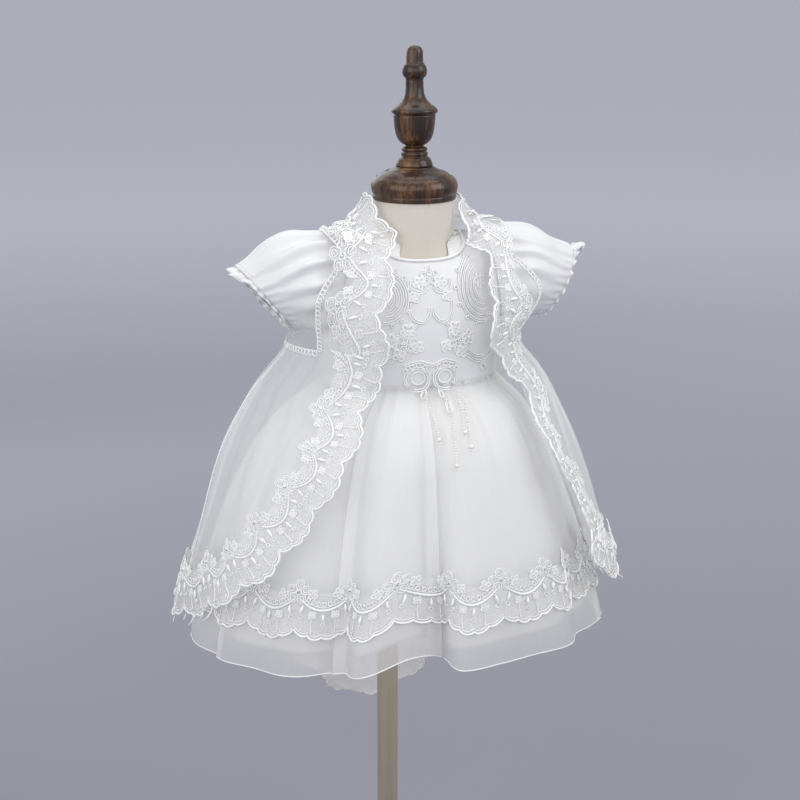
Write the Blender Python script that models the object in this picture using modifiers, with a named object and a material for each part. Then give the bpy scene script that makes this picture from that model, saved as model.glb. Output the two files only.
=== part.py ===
# Christening gown on a limbless dress form: satin bodice and puff sleeves, gathered organza
# overskirt with a lace band over a satin underskirt, and an organza cape edged with corded lace.
# Metres, +Z up, the front faces -Y, origin under the middle of the round base.
import math

import bmesh
import bpy
from mathutils import Vector

# ---- stand -------------------------------------------------------------------------------
BASE_RADIUS = 0.130
BASE_HEIGHT = 0.014
BASE_BEVEL = 0.003
POLE_RADIUS = 0.011
POLE_TOP = 0.552
SEAM_GAP = 0.0003

# ---- leaning centre line of the form: place at the hem level and at the neck ----------------
HEM_LEVEL = 0.385
NECK_LEVEL = 0.840
CENTRE_AT_HEM = (0.006, -0.024)
CENTRE_AT_NECK = (0.013, -0.046)

# ---- cloth -------------------------------------------------------------------------------
SATIN_WALL = 0.0012
ORGANZA_WALL = 0.0010
LACE_WALL = 0.0010
LACE_RELIEF = 0.0012
WAIST_LEVEL = 0.656
WAIST_DIP = 0.006          # the waist seam stands this much higher in front
LACE_REPEAT = 0.052        # one scallop with its flower

# form: height, half width, front depth, back depth
FORM_SECTIONS = [
    (0.5523, 0.030, 0.024, 0.022), (0.5560, 0.058, 0.046, 0.042), (0.5680, 0.076, 0.059, 0.053),
    (0.600, 0.0835, 0.0640, 0.0570), (0.640, 0.0830, 0.0630, 0.0555), (0.680, 0.0850, 0.0625, 0.0560),
    (0.720, 0.0850, 0.0580, 0.0550), (0.750, 0.0815, 0.0500, 0.0500), (0.767, 0.0740, 0.0410, 0.0420),
    (0.778, 0.0620, 0.0375, 0.0375), (0.786, 0.0480, 0.0375, 0.0375), (0.793, 0.0405, 0.0378, 0.0378),
    (0.808, 0.0388, 0.0382, 0.0382), (0.8405, 0.0385, 0.0385, 0.0385),
]

FORM_SIDES = 28

# bodice surface: height, half width, front depth, back depth
BODY_SECTIONS = [
    (0.560, 0.0885, 0.0680, 0.0610), (0.656, 0.0895, 0.0690, 0.0615), (0.700, 0.0915, 0.0680, 0.0620),
    (0.735, 0.0915, 0.0630, 0.0610), (0.762, 0.0900, 0.0545, 0.0560), (0.780, 0.0870, 0.0445, 0.0470),
    (0.790, 0.0840, 0.0310, 0.0360), (0.7975, 0.0800, 0.0090, 0.0120), (0.8000, 0.0785, 0.0014, 0.0014),
]

# top edge of the bodice by angle from the centre: neckline, shoulder seam, armhole, side seam
FRONT_TOP = [
    (0, 0.7790), (8, 0.7792), (16, 0.7805), (24, 0.7840), (31, 0.7900), (37, 0.7990), (44, 0.8000),
    (51, 0.7998), (58.2, 0.7990), (59.2, 0.7770), (61.5, 0.7560), (66, 0.7360), (74, 0.7215),
    (82, 0.7140), (90, 0.7120),
]
BACK_TOP = [
    (0, 0.7850), (8, 0.7852), (16, 0.7862), (24, 0.7885), (31, 0.7930), (37, 0.7990), (44, 0.8000),
    (51, 0.7998), (58.2, 0.7990), (59.2, 0.7770), (61.5, 0.7560), (66, 0.7360), (74, 0.7215),
    (82, 0.7140), (90, 0.7120),
]
BODICE_LEVELS = (0.0, 0.28, 0.54, 0.76, 0.91, 1.0)   # rows from the waist seam to the top edge
BODICE_SEAM = 0.13         # degrees from a seam's middle to the cloth
BINDING_RADIUS = 0.0016
BINDING_LIFT = 0.0031      # its middle above the neck edge
BINDING_LAST_ANGLE = 37    # it runs to the shoulder

# puff sleeves from the shoulder to the elastic: outward place, back shift, height, half height,
# half depth, droop of the opening in degrees; the wearer's right sleeve hangs lower
SLEEVE_LEFT = [
    (0.0990, 0.004, 0.7565, 0.0470, 0.0395, 0), (0.1130, 0.008, 0.7535, 0.0475, 0.0430, 6),
    (0.1300, 0.013, 0.7490, 0.0455, 0.0435, 14), (0.1460, 0.017, 0.7445, 0.0415, 0.0400, 21),
    (0.1590, 0.020, 0.7410, 0.0385, 0.0340, 27),
]
SLEEVE_RIGHT = [
    (0.0985, 0.004, 0.7565, 0.0470, 0.0395, 0), (0.1090, 0.008, 0.7535, 0.0475, 0.0430, 9),
    (0.1220, 0.013, 0.7490, 0.0455, 0.0435, 21), (0.1350, 0.017, 0.7445, 0.0425, 0.0400, 31),
    (0.1460, 0.020, 0.7410, 0.0405, 0.0340, 40),
]
# edge of the armhole: height, outward place
ARM_EDGE = [
    (0.7120, 0.0915), (0.7140, 0.0906), (0.7215, 0.0880), (0.7360, 0.0836), (0.7560, 0.0792),
    (0.7770, 0.0752), (0.7990, 0.0675),
]
ARM_MIDDLE = 0.7555
ARM_HALF_HEIGHT = 0.0435
ARM_SEAM = 0.003           # from the bodice's cut edge to the sleeve
SLEEVE_COLUMNS = 28
SLEEVE_PLEATS = 7
SLEEVE_PLEAT_DEPTH = 0.0022
ELASTIC_PLEAT = 0.45       # share of the pleat's depth near the elastic
ELASTIC_ROWS = 2
SLEEVE_LEVEL = 0.7565      # height whose centre the sleeves are set on
FRILL_WAVES = 14
FRILL_LENGTH = 0.008
FRILL_FLARE = 0.0045
FRILL_WAVE = 0.0028
FRILL_POINTS = 4           # points along one wave
FRILL_GAP = 0.0009

# skirt: height, left half width, right half width, front depth, back depth
SKIRT_SECTIONS = [
    (0.385, 0.2160, 0.2150, 0.1620, 0.1500), (0.420, 0.2130, 0.2060, 0.1580, 0.1460),
    (0.470, 0.2030, 0.1910, 0.1500, 0.1380), (0.520, 0.1890, 0.1730, 0.1380, 0.1270),
    (0.565, 0.1720, 0.1540, 0.1250, 0.1140), (0.600, 0.1530, 0.1370, 0.1120, 0.1010),
    (0.630, 0.1260, 0.1170, 0.0930, 0.0840), (0.648, 0.1000, 0.0980, 0.0760, 0.0680),
    (0.6565, 0.0915, 0.0915, 0.0710, 0.0635), (0.664, 0.0910, 0.0910, 0.0705, 0.0630),
]
# large skirt folds: angle from the front, half spread in degrees, rise at the hem, sideways lean
SKIRT_FOLDS = [
    (-66, 12, 0.007, 0), (-47, 9, 0.006, 2), (-32, 5, -0.006, 2), (-20, 8, 0.013, -4), (-4, 5, -0.018, 3),
    (7, 8, 0.011, -4), (33, 10, 0.007, 2), (52, 8, -0.006, 0), (70, 10, 0.005, 2), (92, 10, -0.006, 0),
    (116, 12, 0.008, 3), (136, 9, -0.010, 0), (154, 10, 0.010, -3), (174, 10, -0.008, 0),
    (-166, 10, 0.010, 4), (-146, 9, -0.010, 0), (-128, 11, 0.009, 3), (-106, 10, -0.006, 0), (-86, 9, 0.004, -2),
]
WAIST_GATHERS = 30
GATHER_DEPTH = 0.0022
GATHER_FADE = 1.6          # the gathers are gone at 1/1.6 of the length
FOLD_GROWTH = 1.2          # how the folds deepen toward the hem
OVERSKIRT_COLUMNS = 120
OVERSKIRT_ROWS = (0.0, 0.040, 0.068, 0.110, 0.180, 0.240)   # distances up from the hem
OVERSKIRT_HEM = 0.387
HEM_RISE = 0.012           # the hem hangs this much higher in front
HEM_LIFT = (-100, 38, 0.014)   # angle, half spread and height of its lift at the wearer's right side
UNDERSKIRT_COLUMNS = 60
UNDERSKIRT_ROWS = 4
UNDERSKIRT_HEM = 0.402
UNDERSKIRT_INSET = 0.0050   # clear of the overskirt at the waist seam
UNDERSKIRT_HEM_INSET = 0.0140
UNDERSKIRT_INSET_ENDS = 0.6   # share of the length over which the inset grows
UNDERSKIRT_FOLDS = 0.5      # share of the overskirt's folds that it follows
BAND_ROWS = (0.040, 0.064, 0.084)         # lace band on the skirt, distances up from the hem
BAND_REPEATS = 24
BAND_SCALLOP = 0.009
BAND_HANG = 0.6            # share of the scallop above the band's lowest row
BAND_FLOWER = 0.014
LACE_CLEARANCE = 0.0016

# cape, row by row from the neck edge: left and right half width, front and back depth,
# height at the side, in front and behind
CAPE_SECTIONS = [
    (0.0, 0.0480, 0.0480, 0.0490, 0.0470, 0.8060, 0.7860, 0.8150),
    (1.0, 0.0640, 0.0640, 0.0640, 0.0600, 0.8085, 0.7600, 0.8000),
    (2.0, 0.0920, 0.0920, 0.0765, 0.0750, 0.8070, 0.7300, 0.7700),
    (2.5, 0.1250, 0.1400, 0.0820, 0.0850, 0.7560, 0.7120, 0.7400),
    (3.0, 0.1240, 0.1120, 0.0800, 0.0830, 0.6975, 0.6950, 0.7100),
    (4.0, 0.1560, 0.1400, 0.0820, 0.0880, 0.6500, 0.6550, 0.6500),
    (5.0, 0.1860, 0.1680, 0.1240, 0.1300, 0.5900, 0.6000, 0.5700),
    (6.0, 0.2060, 0.1960, 0.1500, 0.1660, 0.5200, 0.5400, 0.4700),
    (7.0, 0.2210, 0.2150, 0.1740, 0.1800, 0.4660, 0.4700, 0.3500),
    (8.0, 0.2260, 0.2200, 0.1840, 0.1780, 0.4210, 0.4300, 0.2340),
]
POINT_TURN = 8.0           # degrees that the back point hangs round to the wearer's left
POINT_SHARPNESS = 3.0      # how much the back hem narrows to a point
NECK_STAND = 0.022         # how far the neck edge stands up beside and behind the neck
NECK_STAND_ANGLES = (55, 105)
POINT_ROWS = (4.0, 8.0)    # rows over which the back narrows to its point
FOLD_ROWS = (2.8, 6.5)     # rows over which the cape's folds deepen
FOLD_TURN = 40             # degrees that the folds are turned by
FRONT_FULL_ROW = 4         # below this row the front panel reaches the side seam in even columns
# outer edge of the cape by row: angle of the left front edge and of the right front edge
CAPE_EDGE = [
    (0.0, -50.0, 68.0), (1.0, -45.0, 64.0), (2.0, -35.0, 50.0), (2.5, -30.0, 31.0), (3.0, -27.0, 40.0),
    (4.0, -27.0, 42.0), (5.0, -32.0, 39.0), (6.0, -45.0, 48.0), (6.6, -56.0, 48.0), (7.0, -65.0, 52.0),
    (7.3, -73.0, 61.0), (7.6, -82.0, 77.0), (7.8, -89.8, 89.8),
]
CAPE_SIDE_ROW = 7.8        # row where the edge passes the side seam
CAPE_BACK_ROW = 8.0        # row of the edge at the centre back
ARM_OPENING = (2.0, 3.0, 60.0, 128.0)     # first and last row, first and last angle
FRONT_PANEL_ROWS = (0.0, 0.5, 1.0, 1.5, 2.0, 2.5, 3.0, 3.5, 4.0, 4.6, 5.2, 6.0, 6.6, 7.2, 7.6)
BACK_PANEL_ROWS = (0.0, 0.5, 1.0, 2.0, 3.0, 3.5, 4.3, 5.2, 6.2, 7.1, 8.0)
FRONT_PANEL_COLUMNS = 8
BACK_PANEL_COLUMNS = 28
CAPE_SEAM = 0.35           # degrees from the side seam's middle to each panel
CAPE_FOLDS = 11
CAPE_FOLD_DEPTH = 0.0035
EDGE_LACE_WIDTH = 0.060
EDGE_LACE_OVERHANG = 0.006
EDGE_LACE_MIDDLE = 0.50    # share of the width where the raised middle row lies
EDGE_LACE_INNER = 0.82     # share of the width of the inner edge between flowers
EDGE_LACE_BLOOM = 0.18     # share of the width that a flower adds
EDGE_LACE_LEAST = 0.010    # least width, beside the arm opening
EDGE_LACE_ARM_CLEAR = 2.0  # degrees kept from the arm opening
EDGE_POINTS = 5            # points along one repeat
EDGE_SAMPLES = 200         # samples along each of the three stretches of the edge
LACE_PAST_EDGE = 0.3       # rows that the scallops may hang past the edge
WALK_STEPS = 6
CAPE_LACE_CLEARANCE = 0.0042
CAPE_LACE_SIDE_SHARE = 0.30   # share of the edge that each front length covers
LACE_SEAM = 0.0004

# lace on the bodice front
APPLIQUE_WALL = 0.0010
APPLIQUE_CLEARANCE = 0.0014
APPLIQUE_ANGLES = range(-50, 63, 7)
APPLIQUE_LEVELS = 5
APPLIQUE_TOP = 0.776       # highest row, and how far it keeps below the neck edge
APPLIQUE_BELOW_NECK = 0.005
APPLIQUE_LOW = 0.686       # its lowest row waves by this much
APPLIQUE_WAVE = 0.008
APPLIQUE_WAVES = 9
NECK_EDGE_ANGLE = 51       # the front's top edge is read up to this angle
MOTIF_RADIUS = 0.080       # radius at which a motif's width is measured
MOTIF_SPREAD = 1.35        # a motif fades out at this many of its own half sizes
MOTIF_FADE = 0.7
WAIST_LACE_ANGLES = range(-20, 25, 4)
WAIST_LACE_HEIGHTS = (0.622, 0.634, 0.645, 0.655, 0.665, 0.673)
WAIST_LACE_CLEARANCE = 0.0070
WAIST_SEAM_TOP = 0.664     # above this height the waist lace lies on the bodice
WAIST_LACE_NARROWING = 0.55

# motifs of that lace: height, angle, half width, half height, rise
YOKE_MOTIFS = [
    (0.768, 4, 0.0170, 0.0095, 0.0016), (0.742, -5, 0.0120, 0.0125, 0.0010),
    (0.742, 13, 0.0120, 0.0125, 0.0010), (0.735, -28, 0.0190, 0.0300, 0.0014),
    (0.740, 36, 0.0190, 0.0300, 0.0014), (0.700, -14, 0.0175, 0.0140, 0.0018),
    (0.700, 22, 0.0175, 0.0140, 0.0018), (0.694, 42, 0.0130, 0.0120, 0.0010),
]
WAIST_MOTIFS = [
    (0.662, -10, 0.0120, 0.0150, 0.0012), (0.664, 12, 0.0110, 0.0140, 0.0012),
    (0.640, 2, 0.0100, 0.0180, 0.0010),
]

# turned wood, radius and height, bottom to top
CAP_PROFILE = [
    (0.0000, 0.8409), (0.0360, 0.8409), (0.0395, 0.8416), (0.0425, 0.8450), (0.0436, 0.8490),
    (0.0430, 0.8520), (0.0398, 0.8560), (0.0345, 0.8600), (0.0290, 0.8618), (0.0286, 0.8604),
    (0.0266, 0.8606), (0.0258, 0.8640), (0.0220, 0.8668), (0.0000, 0.8668),
]
FINIAL_PROFILE = [
    (0.0000, 0.8671), (0.0168, 0.8671), (0.0176, 0.8700), (0.0168, 0.8722), (0.0140, 0.8745),
    (0.0122, 0.8775), (0.0120, 0.8800), (0.0128, 0.8822), (0.0124, 0.8846), (0.0100, 0.8862),
    (0.0104, 0.8890), (0.0150, 0.8970), (0.0194, 0.9070), (0.0218, 0.9160), (0.0228, 0.9200),
    (0.0224, 0.9225), (0.0180, 0.9250), (0.0118, 0.9285), (0.0092, 0.9340), (0.0088, 0.9440),
    (0.0096, 0.9500), (0.0118, 0.9520), (0.0122, 0.9575), (0.0116, 0.9615), (0.0086, 0.9640),
    (0.0080, 0.9680), (0.0076, 0.9740), (0.0058, 0.9785), (0.0000, 0.9805),
]
TURNED_SIDES = 18


# ---- small helpers -----------------------------------------------------------------------
def clear_scene():
    for old in list(bpy.data.objects):
        bpy.data.objects.remove(old, do_unlink=True)


def make_material(name, colour, roughness, metallic=0.0):
    material = bpy.data.materials.new(name)
    material.use_nodes = True
    shader = material.node_tree.nodes["Principled BSDF"]
    shader.inputs["Base Color"].default_value = (*colour, 1.0)
    shader.inputs["Roughness"].default_value = roughness
    shader.inputs["Metallic"].default_value = metallic
    return material


def smooth_step(value, low, high):
    t = min(1.0, max(0.0, (value - low) / (high - low)))
    return t * t * (3.0 - 2.0 * t)


def table_row(table, key):
    """Values of a table at one key, on a smooth curve through its rows."""
    keys = [row[0] for row in table]
    key = min(keys[-1], max(keys[0], key))
    i = min(len(keys) - 2, max(0, sum(1 for k in keys if k <= key) - 1))
    step = keys[i + 1] - keys[i]
    t = (key - keys[i]) / step
    values = []
    for column in range(1, len(table[0])):
        def slope(j):
            a, b = max(0, j - 1), min(len(keys) - 1, j + 1)
            return (table[b][column] - table[a][column]) / (keys[b] - keys[a])
        p0, p1 = table[i][column], table[i + 1][column]
        m0, m1 = slope(i) * step, slope(i + 1) * step
        low, high = min(p0, p1), max(p0, p1)
        value = ((2 * t**3 - 3 * t**2 + 1) * p0 + (t**3 - 2 * t**2 + t) * m0
                 + (-2 * t**3 + 3 * t**2) * p1 + (t**3 - t**2) * m1)
        spare = 0.15 * (high - low)
        values.append(min(high + spare, max(low - spare, value)))
    return values


def centre(height):
    """Point on the leaning centre line at one height."""
    t = (height - HEM_LEVEL) / (NECK_LEVEL - HEM_LEVEL)
    return (CENTRE_AT_HEM[0] + (CENTRE_AT_NECK[0] - CENTRE_AT_HEM[0]) * t,
            CENTRE_AT_HEM[1] + (CENTRE_AT_NECK[1] - CENTRE_AT_HEM[1]) * t)


def oval_point(angle, height, left, right, front, back, out=0.0):
    """Point of a soft oval round the centre line; angle 0 is the front, + goes to +X."""
    sine, cosine = math.sin(math.radians(angle)), math.cos(math.radians(angle))
    half_width = (left + right) / 2 + (right - left) / 2 * sine + out
    depth = (front + back) / 2 + (front - back) / 2 * cosine + out
    x, y = centre(height)
    return Vector((x + half_width * sine, y - depth * cosine, height))


def body_point(angle, height, out=0.0):
    width, front, back = table_row(BODY_SECTIONS, height)
    return oval_point(angle, height, width, width, front, back, out)


def new_object(name, mesh, material, collection):
    mesh.materials.append(material)
    item = bpy.data.objects.new(name, mesh)
    collection.objects.link(item)
    return item


def solidify(item, wall):
    thick = item.modifiers.new("wall", "SOLIDIFY")
    thick.thickness = wall
    thick.offset = -1.0
    return item


def cloth_grid(name, rows, wall, material, collection, closed=False, skip=None):
    """Open sheet through rows of points, given its wall on the inner side."""
    mesh = bpy.data.meshes.new(name)
    bm = bmesh.new()
    verts = [[bm.verts.new(point) for point in row] for row in rows]
    columns = len(rows[0])
    for i in range(len(rows) - 1):
        for j in range(columns if closed else columns - 1):
            if skip and skip(i, j):
                continue
            k = (j + 1) % columns
            bm.faces.new((verts[i][j], verts[i][k], verts[i + 1][k], verts[i + 1][j]))
    bmesh.ops.delete(bm, geom=[v for v in bm.verts if not v.link_faces], context="VERTS")
    bm.to_mesh(mesh)
    bm.free()
    mesh.shade_smooth()
    return solidify(new_object(name, mesh, material, collection), wall)


def relief_grid(name, outer, inner, material, collection, closed=False):
    """Closed wall between an outer sheet with raised work and its plain inner sheet."""
    mesh = bpy.data.meshes.new(name)
    bm = bmesh.new()
    top = [[bm.verts.new(point) for point in row] for row in outer]
    under = [[bm.verts.new(point) for point in row] for row in inner]
    last, columns = len(outer) - 1, len(outer[0])
    for j in range(columns if closed else columns - 1):
        k = (j + 1) % columns
        for i in range(last):
            bm.faces.new((top[i][j], top[i][k], top[i + 1][k], top[i + 1][j]))
            bm.faces.new((under[i][j], under[i + 1][j], under[i + 1][k], under[i][k]))
        bm.faces.new((top[0][k], top[0][j], under[0][j], under[0][k]))
        bm.faces.new((top[last][j], top[last][k], under[last][k], under[last][j]))
    if not closed:
        for i in range(last):
            bm.faces.new((top[i][0], top[i + 1][0], under[i + 1][0], under[i][0]))
            bm.faces.new((top[i + 1][-1], top[i][-1], under[i][-1], under[i + 1][-1]))
    bm.to_mesh(mesh)
    bm.free()
    mesh.shade_smooth()
    return new_object(name, mesh, material, collection)


def turned(name, profile, sides, place, material, collection):
    """Solid turned from a profile of radius and height, top to bottom on its outer side."""
    mesh = bpy.data.meshes.new(name)
    points = [Vector((radius, 0, height)) for radius, height in reversed(profile)]
    mesh.from_pydata(points, [(i, i + 1) for i in range(len(points) - 1)], [])
    item = new_object(name, mesh, material, collection)
    item.location = (place[0], place[1], 0)
    screw = item.modifiers.new("turn", "SCREW")
    screw.steps = screw.render_steps = sides
    screw.use_merge_vertices = True
    screw.merge_threshold = 0.00001
    screw.use_smooth_shade = True
    return item


# ---- stand and form ----------------------------------------------------------------------
def build_base(collection):
    bpy.ops.mesh.primitive_cylinder_add(vertices=48, radius=BASE_RADIUS, depth=BASE_HEIGHT,
                                        location=(0, 0, BASE_HEIGHT / 2))
    item = bpy.context.object
    item.name = item.data.name = "base"
    for old in item.users_collection:
        old.objects.unlink(item)
    collection.objects.link(item)
    item.data.materials.append(make_material("satin_nickel", (0.62, 0.58, 0.50), 0.3, 1.0))
    bevel = item.modifiers.new("edge", "BEVEL")
    bevel.width = BASE_BEVEL
    bevel.segments = 1
    bevel.limit_method = "ANGLE"


def build_pole(collection):
    low = BASE_HEIGHT + SEAM_GAP
    bpy.ops.mesh.primitive_cylinder_add(vertices=24, radius=POLE_RADIUS, depth=POLE_TOP - low,
                                        location=(0, 0, (POLE_TOP + low) / 2))
    item = bpy.context.object
    item.name = item.data.name = "pole"
    for old in item.users_collection:
        old.objects.unlink(item)
    collection.objects.link(item)
    item.data.materials.append(make_material("satin_nickel_tube", (0.62, 0.58, 0.50), 0.25, 1.0))
    item.data.shade_smooth()


def build_form(collection):
    """Linen-covered torso without limbs: one loft through ovals, closed at both ends."""
    mesh = bpy.data.meshes.new("form")
    bm = bmesh.new()
    rings = []
    for height, width, front, back in FORM_SECTIONS:
        rings.append([bm.verts.new(oval_point(360 * j / FORM_SIDES, height, width, width, front, back))
                      for j in range(FORM_SIDES)])
    for low, high in zip(rings, rings[1:]):
        for j in range(FORM_SIDES):
            k = (j + 1) % FORM_SIDES
            bm.faces.new((low[j], low[k], high[k], high[j]))
    bm.faces.new(list(reversed(rings[0])))
    bm.faces.new(rings[-1])
    bm.to_mesh(mesh)
    bm.free()
    mesh.shade_smooth()
    new_object("form", mesh, make_material("linen_cover", (0.72, 0.66, 0.57), 0.85), collection)


def build_wood(collection):
    place = centre(NECK_LEVEL)
    walnut = make_material("walnut", (0.10, 0.045, 0.025), 0.25)
    turned("neck_cap", CAP_PROFILE, TURNED_SIDES, place, walnut, collection)
    turned("finial", FINIAL_PROFILE, TURNED_SIDES, place, walnut, collection)


# ---- bodice ------------------------------------------------------------------------------
def waist_height(angle):
    return WAIST_LEVEL + WAIST_DIP * max(0.0, math.cos(math.radians(angle)))


def bodice_rows(angles, tops):
    rows = []
    for level in BODICE_LEVELS:
        row = []
        for angle, top in zip(angles, tops):
            low = waist_height(angle) + SEAM_GAP
            row.append(body_point(angle, low + (top - low) * level))
        rows.append(row)
    return rows


def build_bodice(collection):
    satin = make_material("satin", (0.93, 0.93, 0.94), 0.4)
    half = [(min(angle, 90 - BODICE_SEAM), top) for angle, top in FRONT_TOP]
    front = [(-angle, top) for angle, top in reversed(half[1:])] + half
    cloth_grid("bodice_front", bodice_rows(*zip(*front)), SATIN_WALL, satin, collection)
    back = [(max(BODICE_SEAM, min(angle, 90 - BODICE_SEAM)), top) for angle, top in BACK_TOP]
    left = [(180 - angle, top) for angle, top in reversed(back)]
    right = [(180 + angle, top) for angle, top in back]
    cloth_grid("bodice_back_left", bodice_rows(*zip(*left)), SATIN_WALL, satin, collection)
    cloth_grid("bodice_back_right", bodice_rows(*zip(*right)), SATIN_WALL, satin, collection)


def build_neck_binding(collection):
    """Narrow round binding along the neckline."""
    front = [(angle, top) for angle, top in FRONT_TOP if angle <= BINDING_LAST_ANGLE]
    back = [(180 - angle, top) for angle, top in reversed(BACK_TOP) if angle <= BINDING_LAST_ANGLE]
    half = front + back
    loop = half + [(-angle, top) for angle, top in reversed(half[1:-1])]
    curve = bpy.data.curves.new("neck_binding", "CURVE")
    curve.dimensions = "3D"
    curve.bevel_depth = BINDING_RADIUS
    curve.bevel_resolution = 1
    spline = curve.splines.new("POLY")
    spline.points.add(len(loop) - 1)
    for point, (angle, top) in zip(spline.points, loop):
        point.co = (*(body_point(angle, top) + Vector((0, 0, BINDING_LIFT))), 1.0)
    spline.use_cyclic_u = True
    curve.materials.append(make_material("satin_binding", (0.95, 0.95, 0.96), 0.45))
    collection.objects.link(bpy.data.objects.new("neck_binding", curve))


# ---- puff sleeves ------------------------------------------------------------------------
def armhole_point(turn):
    """Point of the armhole edge; turn 0 is the top, a quarter turn is the front."""
    sine, cosine = math.sin(turn), math.cos(turn)
    height = ARM_MIDDLE + ARM_HALF_HEIGHT * cosine
    across = table_row(ARM_EDGE, height)[0]
    width, front, back = table_row(BODY_SECTIONS, height)
    depth = front if sine > 0 else back
    reach = math.sqrt(max(0.0, 1.0 - (across / width) ** 2))
    return Vector((across + ARM_SEAM, -math.copysign(depth * reach, sine) - ARM_SEAM * sine,
                   height + ARM_SEAM * cosine))


def place_sleeve(rows, side):
    """Rows made for the wearer's left side, set on the centre line or mirrored to the right."""
    x, y = centre(SLEEVE_LEVEL)
    rows = [[Vector((x + side * p.x, y + p.y, p.z)) for p in row] for row in rows]
    return rows if side > 0 else [list(reversed(row)) for row in rows]


def ring_point(section, turn, swell, reach=0.0):
    """Point of a sleeve section, or one that lies further out along its drooping axis."""
    across, shift, height, half_height, half_depth, droop = section
    sine, cosine = math.sin(math.radians(droop)), math.cos(math.radians(droop))
    up = (half_height + swell) * math.cos(turn)
    return Vector((across + up * sine + reach * cosine, shift - (half_depth + swell) * math.sin(turn),
                   height + up * cosine - reach * sine))


def build_sleeve(name, side, sections, satin, collection):
    rows = [[armhole_point(2 * math.pi * j / SLEEVE_COLUMNS) for j in range(SLEEVE_COLUMNS)]]
    for i, section in enumerate(sections):
        near_elastic = i >= len(sections) - ELASTIC_ROWS
        pleat = SLEEVE_PLEAT_DEPTH * (ELASTIC_PLEAT if near_elastic else 1.0)
        row = []
        for j in range(SLEEVE_COLUMNS):
            turn = 2 * math.pi * j / SLEEVE_COLUMNS
            row.append(ring_point(section, turn, pleat * math.cos(SLEEVE_PLEATS * turn)))
        rows.append(row)
    cloth_grid(name, place_sleeve(rows, side), SATIN_WALL, satin, collection, closed=True)


def build_frill(name, side, section, satin, collection):
    """Small ruffle beyond the elastic of a sleeve."""
    columns = FRILL_WAVES * FRILL_POINTS
    rows = []
    for step in (0.0, 1.0):
        row = []
        for j in range(columns):
            turn = 2 * math.pi * j / columns
            wave = step * FRILL_WAVE * math.sin(FRILL_WAVES * turn)
            row.append(ring_point(section, turn, FRILL_FLARE * step + wave, FRILL_GAP + step * FRILL_LENGTH))
        rows.append(row)
    cloth_grid(name, place_sleeve(rows, side), ORGANZA_WALL, satin, collection, closed=True)


def build_sleeves(collection):
    satin = make_material("sleeve_satin", (0.94, 0.94, 0.95), 0.4)
    for name, side, sections in (("right", -1, SLEEVE_RIGHT), ("left", 1, SLEEVE_LEFT)):
        build_sleeve("sleeve_" + name, side, sections, satin, collection)
        build_frill("cuff_frill_" + name, side, sections[-1], satin, collection)


# ---- skirts ------------------------------------------------------------------------------
def angle_between(angle, other):
    return (angle - other + 180.0) % 360.0 - 180.0


def skirt_point(angle, drop, hem, inset=0.0, gathers=True, folds=1.0):
    """Point of a skirt; drop is 0 at the waist seam and 1 at the hem."""
    facing = max(0.0, math.cos(math.radians(angle)))
    top = waist_height(angle) - SEAM_GAP
    lifted, spread, lift = HEM_LIFT
    raised = lift * math.exp(-(angle_between(angle, lifted) / spread) ** 2)
    bottom = hem + HEM_RISE * facing + raised
    height = top + (bottom - top) * drop
    out, lean = 0.0, 0.0
    for place, width, rise, sideways in SKIRT_FOLDS:
        bump = folds * math.exp(-(angle_between(angle, place) / width) ** 2) * drop ** FOLD_GROWTH
        out += rise * bump
        lean += sideways * bump
    if gathers:
        fade = max(0.0, 1.0 - GATHER_FADE * drop)
        out += GATHER_DEPTH * fade * math.sin(math.radians(WAIST_GATHERS * angle))
    left, right, front, back = table_row(SKIRT_SECTIONS, height)
    return oval_point(angle + lean, height, left, right, front, back, out - inset)


def overskirt_rows():
    length = WAIST_LEVEL - OVERSKIRT_HEM
    drops = [1.0 - rise / length for rise in OVERSKIRT_ROWS] + [0.0]
    return [[skirt_point(360 * j / OVERSKIRT_COLUMNS, drop, OVERSKIRT_HEM)
             for j in range(OVERSKIRT_COLUMNS)] for drop in drops]


def build_skirts(collection):
    organza = make_material("organza", (0.96, 0.97, 0.98), 0.5)
    taffeta = make_material("underskirt_satin", (0.94, 0.94, 0.94), 0.45)
    rows = overskirt_rows()
    cloth_grid("overskirt", rows, ORGANZA_WALL, organza, collection, closed=True)
    under = []
    for i in range(UNDERSKIRT_ROWS + 1):
        drop = 1.0 - i / UNDERSKIRT_ROWS
        grow = smooth_step(drop, 0.0, UNDERSKIRT_INSET_ENDS)
        inset = UNDERSKIRT_INSET + (UNDERSKIRT_HEM_INSET - UNDERSKIRT_INSET) * grow
        under.append([skirt_point(360 * j / UNDERSKIRT_COLUMNS, drop, UNDERSKIRT_HEM, inset, False,
                                  UNDERSKIRT_FOLDS) for j in range(UNDERSKIRT_COLUMNS)])
    cloth_grid("underskirt", under, SATIN_WALL, taffeta, collection, closed=True)
    build_skirt_band(rows, collection)


def on_column(rows, levels, j, rise):
    """Point up one column of a sheet, at one distance from its hem."""
    i = max(0, min(len(levels) - 2, sum(1 for level in levels if level <= rise) - 1))
    t = (rise - levels[i]) / (levels[i + 1] - levels[i])
    return rows[i][j].lerp(rows[i + 1][j], t)


def sheet_normal(rows, i, j):
    """Outward normal of a closed sheet at one of its points."""
    columns = len(rows[0])
    along = rows[i][(j + 1) % columns] - rows[i][(j - 1) % columns]
    up = rows[min(i + 1, len(rows) - 1)][j] - rows[max(i - 1, 0)][j]
    return along.cross(up).normalized()


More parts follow.
